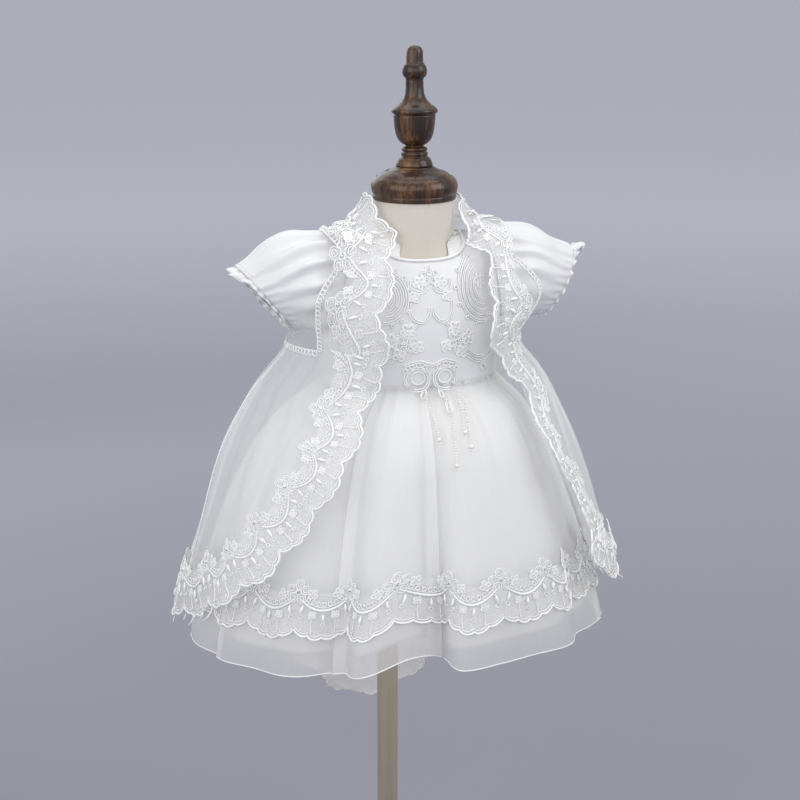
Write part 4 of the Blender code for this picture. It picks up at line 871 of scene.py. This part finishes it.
def capePoint(angle, row, out=0.0):
    left, right, front, back, sideHeight, frontHeight, backHeight = tableRow(capeSections, row)
    cosine = math.cos(math.radians(angle))
    endHeight = frontHeight if cosine > 0 else backHeight
    stand = cape["neckStand"] * smoothStep(abs(angleBetween(angle, 0)), 40, 86) * max(0.0, 1.0 - row)
    if cosine < 0:
        cosine = math.cos(math.radians(angle + cape["pointTurn"] * cosine * cosine))
    narrowing = cape["pointSharpness"] * smoothStep(row, 4.0, 8.0) if cosine < 0 else 0.0
    height = sideHeight + (endHeight - sideHeight) * abs(cosine) ** (2.0 + narrowing) + stand
    fold = cape["foldDepth"] * smoothStep(row, 2.8, 6.5) * math.sin(math.radians(cape["folds"] * angle + 40))
    turn = math.radians(angle)
    soft = noise.noise(Vector((math.cos(turn) * 4.5, math.sin(turn) * 4.5, 0.35 * row)))
    fold += cape["waves"] * soft * smoothStep(row, 2.8, 5.0)
    fall = smoothStep(row, 2.9, 3.5) * (1.0 - 0.8 * smoothStep(row, 4.5, 7.0))
    for place, width, rise in underArmFolds:
        away = angleBetween(abs(angleBetween(angle, 0)), place + 3.0 * wander(19, 0.8 * row)) / width
        fold += rise * fall * math.exp(-away * away)
    return ovalPoint(angle, height, left, right, front, back, out + fold)


def frontEdge(row, side):
    return tableRow(capeEdge, row)[0 if side < 0 else 1]


def backEdge(angle):
    return cape["backRow"] - (cape["backRow"] - cape["sideRow"]) * math.sin(math.radians(angle)) ** 2


def capePanels():
    organza = organzaMaterial("cape_organza", 0.35)
    seam, armShare, sideRow, backRow = cape["seam"], cape["armShare"], cape["sideRow"], cape["backRow"]
    (near, far), (firstRow, lastRow) = cape["armAngles"], cape["armRows"]
    for name, side in (("right", -1), ("left", 1)):
        def place(u, v, side=side):
            row = sideRow * (1 - v)
            u = u if side > 0 else 1 - u
            edge = min(abs(frontEdge(row, side)), 89.3)
            even = edge + (90 - seam - edge) * u
            if u <= armShare:
                split = edge + (near - edge) * u / armShare
            else:
                split = near + (90 - seam - near) * (u - armShare) / (1 - armShare)
            share = 0.0 if edge >= near else 1.0 - smoothStep(row, 4.0, 5.4)
            return capePoint(side * (even + (split - even) * share), row)

        def inOpening(u, v, side=side):
            u = u if side > 0 else 1 - u
            return firstRow < sideRow * (1 - v) < lastRow and u > armShare

        mesh = clothSheet("cape_front_panel_" + name, place, *cape["frontGrid"], cape["frontFlat"],
                          leaveOut=inOpening)
        panel = finishPiece("cape_front_panel_" + name, mesh, organza, ["cape_front_" + name])

    def placeBack(u, v):
        angle = 90 + seam + (180 - 2 * seam) * u
        row, pointRow = backRow * (1 - v), cape["pointRow"]
        if row > pointRow:
            row = pointRow + (row - pointRow) * (backEdge(angle) - pointRow) / (backRow - pointRow)
        return capePoint(angle, row)

    def backOpening(u, v):
        angle = 90 + 180 * u
        return firstRow < backRow * (1 - v) < lastRow and (angle < far or angle > 360 - far)

    mesh = clothSheet("cape_back_panel", placeBack, *cape["backGrid"], cape["backFlat"], leaveOut=backOpening)
    panel = finishPiece("cape_back_panel", mesh, organza, ["cape_back"])
    seams = [[capePoint(side * 90.0, row / 10, 0.0004) for row in range(*rows)]
             for side in (-1, 1) for rows in ((0, 21), (30, 78))]
    cordCurve("cape_side_seam_stitch", [(run, False) for run in seams], cape["stitch"], cordMaterial())


# lace laid on the shapes

def walkOnCape(angle, row, direction, distance, steps):
    for _ in range(steps):
        low = min(row, 7.95)
        turn = (capePoint(angle + 1, row) - capePoint(angle - 1, row)) / 2
        down = (capePoint(angle, low + 0.05) - capePoint(angle, low)) / 0.05
        normal = down.cross(turn).normalized()
        step = (direction - normal * direction.dot(normal)).normalized() * distance / steps
        tt, td, dd = turn.dot(turn), turn.dot(down), down.dot(down)
        st, sd = step.dot(turn), step.dot(down)
        scale = tt * dd - td * td
        angle += (st * dd - sd * td) / scale
        row = max(0.0, row + (sd * tt - st * td) / scale)
    return angle, row


def capeNormal(angle, row):
    low = min(row, 7.95)
    turn = capePoint(angle + 1, row) - capePoint(angle - 1, row)
    down = capePoint(angle, low + 0.05) - capePoint(angle, low)
    return down.cross(turn).normalized()


def gridSurface(points, normals, us, vs, closed=False):
    # reads a surface given on a grid: at(u, v, out) gives a point, out metres off it
    def at(u, v, out=0.0):
        count = len(us)
        if closed:
            spot = (u / (us[1] - us[0])) % count
        else:
            spot = min(count - 1.001, max(0.0, (u - us[0]) / (us[1] - us[0])))
        i = int(spot)
        s, k = spot - i, (i + 1) % count
        rise = min(len(vs) - 1.001, max(0.0, (v - vs[0]) / (vs[1] - vs[0])))
        j = int(rise)
        t = rise - j
        point = (points[i][j] * ((1 - s) * (1 - t)) + points[k][j] * (s * (1 - t))
                 + points[i][j + 1] * ((1 - s) * t) + points[k][j + 1] * (s * t))
        if v < vs[0]:
            point += (points[i][0] - points[i][1]) * ((vs[0] - v) / (vs[1] - vs[0]))
        return point + normals[i][j].lerp(normals[k][j], s) * out
    return at


lace = {"curl": 0.36, "standTurn": 128.0, "overhang": 0.017, "repeat": 52.0, "capeWidth": 0.060,  # repeat in mm
        "cutWidth": 0.055, "meanWidth": 0.045, "capeClear": 0.0042, "bandClear": 0.0018, "bandRepeats": 24,
        "bandLow": 0.032, "bandStart": 0.0044, "capeStart": -0.006, "capeRipple": 0.0036, "frontShare": 0.30,
        "netClear": 0.0003, "netGrid": (24, 8), "cords": {"thin": 0.00055, "thick": 0.00085, "leaf": 0.00180}}


def capeEdgePath(samples=200):
    rows = [cape["sideRow"] * i / samples for i in range(samples + 1)]
    right = [(frontEdge(row, -1) % 360.0, row) for row in rows]
    left = [(frontEdge(row, 1), row) for row in reversed(rows)]
    angles = [270 - 180 * i / samples for i in range(1, samples)]
    steps = [i / 14 for i in range(14)]  # up the neck stand, past the shoulder
    startTurn, endTurn = frontEdge(0, -1), frontEdge(0, 1)
    riseRight = [((-lace["standTurn"] + (startTurn + lace["standTurn"]) * t) % 360.0, 0.0) for t in steps]
    riseLeft = [(lace["standTurn"] + (endTurn - lace["standTurn"]) * t, 0.0) for t in reversed(steps)]
    return riseRight + right + [(angle, backEdge(angle)) for angle in angles] + left + riseLeft


def laceRoom(angle, row):  # less width beside the arm opening
    first, last = cape["armRows"]
    beside = smoothStep(row, first - 0.5, first - 0.05) * (1.0 - smoothStep(row, last + 0.2, last + 1.0))
    turn = ((capePoint(angle + 1, row) - capePoint(angle - 1, row)) / 2).length
    clear = max(0.010, (cape["armAngles"][0] - 2.0 - abs(angleBetween(angle, 0))) * turn) + laceOverhang(angle, row)
    width = lace["capeWidth"]
    if 0 < angleBetween(angle, 0) < 75:
        width *= 1.0 - lace["curl"] * smoothStep(row, 3.3, 4.3) * (1.0 - smoothStep(row, 5.6, 6.5))
    return width + (min(width, clear) - width) * beside


def laceOverhang(angle, row):  # over the chest the lace reaches past the cape's edge towards the middle
    if angleBetween(angle, 0) < 0:
        onFront = 1.0 - smoothStep(-angleBetween(angle, 0), 52.0, 66.0)
        return 0.35 * lace["overhang"] * onFront * smoothStep(row, 0.3, 1.5) * (1.0 - smoothStep(row, 3.2, 4.6))
    onFront = 1.0 - smoothStep(angleBetween(angle, 0), 66.0, 80.0)  # not behind the shoulder
    return lace["overhang"] * onFront * (0.6 + 0.4 * smoothStep(row, 0.0, 1.2)) * (1.0 - smoothStep(row, 3.2, 4.6))


def capeEdgeSurface():
    path = capeEdgePath()
    spots = [capePoint(angle, row) for angle, row in path]
    lengths = [0.0]
    for a, b in zip(spots, spots[1:]):
        lengths.append(lengths[-1] + (b - a).length)
    grid = {"perRepeat": 10, "rows": 10, "step": 0.0070, "ahead": 5, "behind": 4, "lastRow": 8.35}
    repeats = round(lengths[-1] / (lace["repeat"] / 1000))
    columns = repeats * grid["perRepeat"]
    vs = [grid["step"] * k for k in range(grid["rows"])]  # reach inward from the edge
    points, normals, shifts = [], [], []
    for j in range(columns + 1):
        place = lengths[-1] * j / columns
        i = max(0, min(len(spots) - 2, sum(1 for value in lengths if value <= place) - 1))
        t = (place - lengths[i]) / (lengths[i + 1] - lengths[i])
        angle = path[i][0] + angleBetween(path[i + 1][0], path[i][0]) * t
        row = path[i][1] + (path[i + 1][1] - path[i][1]) * t
        ahead, behind = spots[min(i + grid["ahead"], len(spots) - 1)], spots[max(i - grid["behind"], 0)]
        along = (ahead - behind).normalized()
        inward = capeNormal(angle, row).cross(along) * -1.0
        room = laceRoom(angle, row) / lace["capeWidth"]
        shifts.append(laceOverhang(angle, row))
        spot = (angle, row)
        line, faces = [], []
        for k, v in enumerate(vs):
            if k:
                spot = walkOnCape(*spot, inward, (vs[k] - vs[k - 1]) * room, 1)
            spot = (spot[0], min(spot[1], grid["lastRow"]))
            line.append(capePoint(*spot))
            faces.append(capeNormal(*spot))
        points.append(line)
        normals.append(faces)
    us = [repeats * j / columns for j in range(columns + 1)]  # in repeats
    surface = gridSurface(points, normals, us, vs)

    def at(u, v, out=0.0):
        spot = min(columns - 0.001, max(0.0, u / repeats * columns))
        i = int(spot)
        return surface(u, v - shifts[i] - (shifts[i + 1] - shifts[i]) * (spot - i), out)

    return at, repeats, lengths[-1]


def bandSurface():
    grid = {"columns": 480, "rows": 14, "low": -0.004, "step": 0.008}
    repeats, columns, last = lace["bandRepeats"], grid["columns"], grid["rows"] - 1
    length = waist["level"] - overSkirt["hem"]
    vs = [grid["low"] + grid["step"] * k for k in range(grid["rows"])]  # distance up from the band's lowest line
    points = []
    for j in range(columns):
        points.append([skirtPoint(360 * j / columns, 1 - (v + lace["bandLow"]) / length, overSkirt["hem"])
                       for v in vs])
    normals = []
    for j in range(columns):
        across = [b - a for a, b in zip(points[j - 1], points[(j + 1) % columns])]
        up = [points[j][min(k + 1, last)] - points[j][max(k - 1, 0)] for k in range(grid["rows"])]
        normals.append([a.cross(b).normalized() for a, b in zip(across, up)])
    us = [repeats * j / columns for j in range(columns)]
    return gridSurface(points, normals, us, vs, closed=True)


def arcPoints(x, y, radius, start, end, count, squash=1.0):  # in mm, angles in degrees
    spots = []
    for i in range(count):
        a = math.radians(start + (end - start) * i / (count - 1))
        spots.append((x + radius * math.cos(a), y + radius * squash * math.sin(a)))
    return spots


def ringPoints(x, y, radius, count, squash=1.0, turn=0.0):
    spots = []
    for i in range(count):
        a = math.tau * i / count
        px, py = radius * math.cos(a), radius * squash * math.sin(a)
        c, s = math.cos(math.radians(turn)), math.sin(math.radians(turn))
        spots.append((x + px * c - py * s, y + px * s + py * c))
    return spots


def flowerCords(x, y, size, petals, turn, runs, beads, stones):  # petals of double cord round a stone
    for k in range(petals):
        a = turn + 360 * k / petals
        dx, dy = math.cos(math.radians(a)), math.sin(math.radians(a))
        px, py = x + dx * size * 0.60, y + dy * size * 0.60
        wide = 1.95 / petals  # neighbouring petals just touch
        runs["thin"].append((ringPoints(px, py, size * 0.40, 11, wide * 2.2, a), True))
        runs["thin"].append((ringPoints(px + dx * 0.2, py + dy * 0.2, size * 0.23, 8, wide * 2.2, a), True))
    runs["thin"].append((ringPoints(x, y, size * 0.17, 7), True))
    stones.append((x, y, size * 0.13))
    a = math.radians(turn)
    beads.append((x + size * 0.62 * math.cos(a), y + size * 0.62 * math.sin(a), 0.7))


def leafWidths(count):
    return [0.25 + 0.75 * math.sin(math.pi * i / (count - 1)) for i in range(count)]


def scallopLine(x):  # lower edge of the lace over one repeat of 52 mm, in four small lobes
    wide = lace["repeat"]
    lobe = abs(math.sin(4 * math.pi * x / wide)) ** 0.7
    return 9.0 * (1.0 - math.sin(math.pi * (x % wide) / wide)) - 2.6 * lobe + 2.0


def swagLine(x):
    return 41.0 - 13.0 * math.sin(math.pi * min(1.0, max(0.0, (x - 3.0) / 46.0))) ** 0.85


def laceRepeat(k, runs, beads, stones):  # cords of one repeat; x runs 0 to 52 mm, y 0 to 58 mm from the edge
    at = lace["repeat"] * k
    lift = 1.4 * wander(17, k * 1.9)
    flowerCords(at, 46.5 + lift, 12.0, 5, 90 + 24 * wander(3, k * 2.3), runs, beads, stones)
    swag = [2, 5, 9, 13, 18, 22, 26, 30, 34, 39, 43, 47, 50]
    runs["thick"].append(([(at + x, swagLine(x)) for x in swag], False,
                          [0.5, 0.9, 1.2, 1.45, 1.6, 1.7, 1.7, 1.7, 1.6, 1.45, 1.2, 0.9, 0.5]))
    runs["thin"].append(([(at + x, swagLine(x) + 3.0) for x in (7, 12, 17, 22, 26, 30, 35, 40, 45)], False))
    for i in range(7):  # chain of small loops along the swag's upper side
        x = 11.0 + 5.0 * i
        runs["thin"].append((ringPoints(at + x, swagLine(x) + 5.8, 2.0, 6), True))
    flowerCords(at + 14.5, 44.5 - lift, 5.2, 4, 45, runs, [], stones)
    flowerCords(at + 37.5, 44.0 + lift, 5.2, 4, 20, runs, [], stones)
    for i, x in enumerate((6.5, 16.0, 26.0, 36.0, 45.5)):
        top, low = swagLine(x) - 3.0, scallopLine(x) + 5.0
        bow = 1.4 * wander(5, k * 3.1 + i)
        lean = (x - 26) * 0.10
        if i % 2 == 0:  # satin stitched leaf
            reach = min(top - low, 8.5)
            spots = [(at + x + bow * math.sin(math.pi * t) + lean * t, top - reach * t)
                     for t in (0.0, 0.2, 0.4, 0.6, 0.8, 1.0)]
            runs["leaf"].append((spots, False, leafWidths(6)))
            runs["thin"].append((ringPoints(at + x + lean, top - reach - 2.6, 1.9, 7), True))
        else:  # small blossom over a bead on a short stem
            flowerCords(at + x, top - 3.4, 4.0, 4, 45, runs, [], [])
            stem = [(at + x, top - 7.2), (at + x + bow, (top + low) / 2 - 2.0), (at + x, low + 1.0)]
            runs["thin"].append((stem, False))
            beads.append((at + x, low + 0.6, 1.1))
    lobes = [lace["repeat"] * i / 32 for i in range(33)]
    runs["thick"].append(([(at + x, scallopLine(x)) for x in lobes], False, [1.45] * 33))
    runs["thin"].append(([(at + x, scallopLine(x) + 2.9) for x in lobes[::2]], False))
    for i in range(2):
        beads.append((at + 13.0 + 26.0 * i, scallopLine(13.0 + 26.0 * i) + 5.0, 0.7))


def beadPiece(name, spots, material, faceted=False):  # many small beads in one mesh; spots are (point, radius)
    bm = bmesh.new()
    for point, radius in spots:
        if faceted:
            bmesh.ops.create_icosphere(bm, subdivisions=1, radius=radius, matrix=Matrix.Translation(point))
        else:
            bmesh.ops.create_uvsphere(bm, u_segments=8, v_segments=5, radius=radius,
                                      matrix=Matrix.Translation(point))
    return finishPiece(name, meshFrom(bm, name, smooth=not faceted), material)


def laceLength(name, at, first, last, lowest, clear, cords, nodes, closed=False,
               ripple=0.0012):
    # one length of lace from repeat first to last: net ground, cords, beads
    wide, clearNet = lace["repeat"], clear - lace["netClear"]
    runs, beads, stones = {"thin": [], "thick": [], "leaf": []}, [], []
    for k in range(first, last):
        laceRepeat(k, runs, beads, stones)
    if not closed:
        flowerCords(wide * last, 46.0, 11.5, 5, 90, runs, beads, stones)

    def onShape(x, y, out):
        x = x if closed else min(wide * last - 0.4, max(wide * first + 0.4, x))
        free = max(0.0, 1.0 - y / 46.0) ** 2  # the scalloped edge ripples, the flowers lie flat
        wave = 0.5 + 0.5 * math.sin(x / 13.0 + 3.0 * wander(23, x / 60.0))
        return at(x / wide, y / 1000.0 + lowest, out + ripple * free * wave)

    def net(u, v):
        x = wide * (first + (last - first) * u)
        bloom = 0.5 + 0.5 * math.cos(math.tau * x / wide)
        low, high = scallopLine(x) + 0.3, 44.5 + 12.5 * bloom ** 4
        return onShape(x, low + (high - low) * v, clearNet)

    length = wide / 1000 * (last - first)
    flat = (length, lace["cutWidth"])
    perRepeat, rows = lace["netGrid"]
    mesh = clothSheet(name + "_net", net, perRepeat * (last - first), rows, flat, closed=closed)
    ground = finishPiece(name + "_net", mesh, cords["net"], nodes)
    for kind, thickness in lace["cords"].items():
        rise = clear + thickness * 0.8
        laid = [([onShape(x, y, rise) for x, y in run[0]], *run[1:]) for run in runs[kind]]
        cordCurve(name + "_" + kind + "_cord", laid, thickness, cords["cord"])
    beadPiece(name + "_beads", [(onShape(x, y, clear + r / 1000), r / 1000) for x, y, r in beads],
                            cords["pearl"])
    beadPiece(name + "_stones", [(onShape(x, y, clear + 0.0008), r / 1000) for x, y, r in stones],
                            cords["stone"], faceted=True)


def armEdging(cord):
    # narrow looped edging sewn round the arm openings of the cape
    edging = {"reach": 0.0026, "thickness": 0.00060, "out": 0.0012, "perSide": 24, "loopPoints": 8}
    count = edging["perSide"]
    (firstRow, lastRow), (near, far) = cape["armRows"], cape["armAngles"]
    for name, side in (("right", -1), ("left", 1)):
        corners = [(near, firstRow), (near, lastRow), (far, lastRow), (far, firstRow), (near, firstRow)]
        path = []
        for (a, r), (b, q) in zip(corners, corners[1:]):
            path += [(a + (b - a) * i / count, r + (q - r) * i / count) for i in range(count)]
        spots = [capePoint(side * a, r, edging["out"]) for a, r in path]
        runs = [(spots, True, [1.3] * len(spots))]
        for i, (a, b) in enumerate(zip(spots, spots[1:])):
            along = (b - a).normalized()
            normal = capeNormal(side * path[i][0], path[i][1])
            outward = normal.cross(along) * (-side)
            middle = (a + b) / 2 + outward * edging["reach"]
            ring = []
            for k in range(edging["loopPoints"]):
                turn = math.tau * k / edging["loopPoints"]
                ring.append(middle + along * ((b - a).length * 0.5 * math.cos(turn))
                            + outward * (edging["reach"] * math.sin(turn)))
            runs.append((ring, True))
        cordCurve("arm_opening_edging_" + name, runs, edging["thickness"], cord)


def looseThreads(name, at, first, last, cord):
    # cut ends of embroidery thread and turned lace points that stick out where the edge rounds the corners
    threads = {"count": 6, "reach": 0.008, "thickness": 0.00060}
    runs = []
    for i in range(threads["count"]):
        u = first + (last - first) * (i + 0.5) / threads["count"]
        bend = 3.0 * wander(31, i * 1.7)
        long = threads["reach"] * (0.35 + 2.4 * abs(wander(7, i * 2.3)))
        rise = 0.5 + 1.2 * abs(wander(12, i * 3.1))
        spots = [at(u + bend * t * t * 0.12, -0.002 - long * t, 0.0045 + long * rise * t * t)
                 for t in (0, 0.35, 0.7, 1.0)]
        runs.append((spots, False, [1.0, 1.6, 1.0, 0.3]))
    return cordCurve(name, runs, threads["thickness"], cord)


def skirtAndCapeLace(cords):
    laceLength("skirt_lace", bandSurface(), 0, lace["bandRepeats"], lace["bandStart"], lace["bandClear"], cords,
               ["skirt_lace_band"], closed=True)
    at, repeats, length = capeEdgeSurface()
    print("cape edge", round(length, 3), "m in", repeats, "repeats")
    cornerThreads(at, repeats, cords["cord"])
    side = round(repeats * lace["frontShare"])
    for name, first, last in (("right", 0, side), ("back", side, repeats - side), ("left", repeats - side, repeats)):
        laceLength("cape_lace_" + name, at, first, last, lace["capeStart"], lace["capeClear"], cords,
                   ["cape_lace_" + name], ripple=lace["capeRipple"])
    armEdging(cords["cord"])


# corded work on the bodice front

def onBodice(x, z, out):  # x in mm along the front from its middle, z in mm of height
    angle, height = math.degrees(x / 87.0), z / 1000.0
    top = waistHeight(angle)
    if height > top:
        return bodyPoint(angle, height, out + 0.0010 * (1.0 - smoothStep(height, top, top + 0.006)))
    angle = math.degrees(x / 1000 / tableRow(skirtSections, height)[1])
    bottom = hemHeight(angle, overSkirt["hem"])
    return skirtPoint(angle, (top - height) / (top - bottom), overSkirt["hem"], -out - 0.0008)


def doubleCord(spots, runs, gap=1.9):  # two cords side by side
    for side in (-0.5, 0.5):
        line = []
        for i, (x, y) in enumerate(spots):
            a, b = spots[max(0, i - 1)], spots[min(len(spots) - 1, i + 1)]
            size = max(0.001, math.hypot(b[0] - a[0], b[1] - a[1]))
            line.append((x - (b[1] - a[1]) / size * gap * side, y + (b[0] - a[0]) / size * gap * side))
        runs["thin"].append((line, False))


def softLine(*corners, count=7):  # smooth line through a few corners
    table = [(i, x, y) for i, (x, y) in enumerate(corners)]
    steps = (len(corners) - 1) * count
    return [tuple(tableRow(table, (len(corners) - 1) * i / steps)) for i in range(steps + 1)]


def fanCords(x, z, radius, start, end, runs, beads, rings=4):  # double cords round one centre, like a shell
    for i in range(rings):
        r = radius - 4.6 * i
        doubleCord(arcPoints(x, z, r, start + 9 * i, end - 9 * i, 24, 1.1), runs)
        for k in range(0 if i else 7):
            a = math.radians(start + 22 + (end - start - 44) * k / 6)
            ring = ringPoints(x + (r + 3.4) * math.cos(a), z + (r + 3.4) * 1.1 * math.sin(a), 1.8, 6)
            runs["thin"].append((ring, True))
    for i in range(8):
        a = math.radians(start + (end - start) * (i + 0.5) / 8)
        beads.append((x + (radius - 2.3) * math.cos(a), z + (radius - 2.3) * 1.1 * math.sin(a), 0.6))


def leafCords(x, z, size, turn, runs):  # pointed leaf outline with a satin stitched heart
    c, s = math.cos(math.radians(turn)), math.sin(math.radians(turn))
    shape = [(-1.0, 0.0), (-0.45, 0.36), (0.2, 0.40), (1.0, 0.0), (0.2, -0.40), (-0.45, -0.36)]
    for scale in (1.0, 0.62):
        runs["thin"].append(([(x + (px * c - py * s) * size * scale, z + (px * s + py * c) * size * scale)
                              for px, py in shape], True))


def flowerCluster(x, z, side, runs, beads, stones):  # raised flower heads of overlapping petals
    flowerCords(x, z, 11.5, 6, 80, runs, beads, stones)
    flowerCords(x + side * 12, z + 2, 7.5, 5, 20, runs, beads, stones)
    flowerCords(x - side * 3, z + 12, 7.5, 5, 50, runs, beads, stones)
    flowerCords(x + side * 5, z - 11, 6.5, 4, 30, runs, beads, stones)
    flowerCords(x - side * 12, z - 4, 6.0, 4, 60, runs, beads, stones)


def pearlStrings(cords):
    # four strings of pearls hung from the waist motif: (top x, top height, foot x, foot height) in mm
    strings = [(-8, 657, -4, 619), (13, 632, 10, 596), (26, 654, 22, 624), (30, 646, 26, 611)]
    size = {"pearl": 0.00105, "step": 2.35, "foot": 0.0023, "tip": 0.0012, "footDrop": 3.6, "tipDrop": 7.2}
    spots = []
    for x0, z0, x1, z1 in strings:
        count = int((z0 - z1) / size["step"])
        for i in range(count + 1):
            t = i / count
            pearl = onBodice(x0 + (x1 - x0) * t ** 1.3, z0 + (z1 - z0) * t, size["pearl"] + 0.0006)
            spots.append((pearl, size["pearl"]))
        spots.append((onBodice(x1, z1 - size["footDrop"], size["foot"] + 0.0004), size["foot"]))
        spots.append((onBodice(x1 + 0.4, z1 - size["tipDrop"], size["tip"] + 0.0006), size["tip"]))
    return beadPiece("waist_pearl_strings", spots, cords["pearl"])


def cornerThreads(at, repeats, cord):
    corners, spread = {"right": 0.285, "left": 0.715}, 1.1  # share of the cape's edge, repeats to either side
    for name, share in corners.items():
        looseThreads("corner_threads_" + name, at, repeats * share - spread, repeats * share + spread, cord)


def bodiceWork(cords):
    # corded applique: flower heads, scrolls and shells laid about the middle of the bodice front and over the waist
    work = {"middle": -1.0, "clear": 0.0007, "cord": 0.00072, "beadClear": 0.0012, "stoneClear": 0.0016}
    runs, beads, stones = {"thin": []}, [], []
    middle = work["middle"]
    flowerCords(middle, 766, 9.5, 5, 90, runs, beads, stones)
    for side in (-1, 1):
        def spot(x, z, side=side):
            return middle + side * x, z

        flowerCords(*spot(10, 760), 6.5, 5, 60, runs, beads, stones)
        flowerCords(*spot(16, 747), 5.5, 4, 30, runs, beads, stones)
        doubleCord(softLine(spot(3, 756), spot(9, 751), spot(19, 755), spot(20, 763)), runs)
        doubleCord(softLine(spot(21, 742), spot(19, 729), spot(10, 723), spot(3, 729), spot(1.5, 737)), runs)
        doubleCord(softLine(spot(14, 721), spot(19, 716), spot(21, 711)), runs)
        flowerCluster(*spot(26, 703), side, runs, beads, stones)
        for drop in (0, 5):
            doubleCord(softLine(spot(36, 693 - drop), spot(52, 684 - drop), spot(70, 686 - drop),
                                spot(86, 694 - drop * 0.4)), runs)
        leafCords(*spot(62, 672), 7.5, -30 * side, runs)
        start = 90 - side * 130
        doubleCord(arcPoints(*spot(14, 668), 11.5, start, start + side * 330, 24, 0.95), runs)
        runs["thin"].append((ringPoints(*spot(13, 669), 6.4, 14), True))
        leafCords(*spot(9, 653), 6.0, -90 + side * 25, runs)
        for x, z in ((7, 679), (13, 681.5), (19, 680), (25, 676)):
            runs["thin"].append((ringPoints(*spot(x, z), 2.2, 7), True))
    doubleCord(softLine((middle - 26, 681), (middle - 12, 685), (middle, 681), (middle + 12, 685),
                        (middle + 26, 681)), runs)
    fanCords(-45, 747, 22, -95, 85, runs, beads)
    fanCords(59, 752, 31, 105, 300, runs, beads, 5)
    flowerCords(55, 758, 8.0, 5, 40, runs, beads, stones)
    leafCords(13, 641, 7.5, -90, runs)
    beads.append((13, 641, 1.2))
    spots = [([onBodice(x, z, work["clear"]) for x, z in run[0]], *run[1:]) for run in runs["thin"]]
    cordCurve("bodice_applique_cord", spots, work["cord"], cords["cord"], ["bodice_lace", "waist_lace"])
    beadPiece("bodice_beads", [(onBodice(x, z, work["beadClear"]), r / 1000) for x, z, r in beads],
              cords["pearl"])
    beadPiece("bodice_stones", [(onBodice(x, z, work["stoneClear"]), r / 1000) for x, z, r in stones],
              cords["stone"], faceted=True)
    pearlStrings(cords)


def main():
    setCamera()
    paleFloor()
    softLight()
    print("camera, floor and light set")
    standBase()
    standPole()
    linenForm()
    turnedWood()
    print("stand and form made")
    bodice()
    neckBinding()
    puffSleeves()
    print("bodice and sleeves made")
    skirts()
    capePanels()
    print("skirts and cape made")
    cords = {"cord": cordMaterial(), "net": netMaterial(), "pearl": pearlMaterial(), "stone": stoneMaterial()}
    skirtAndCapeLace(cords)
    bodiceWork(cords)
    print("lace made")


main()
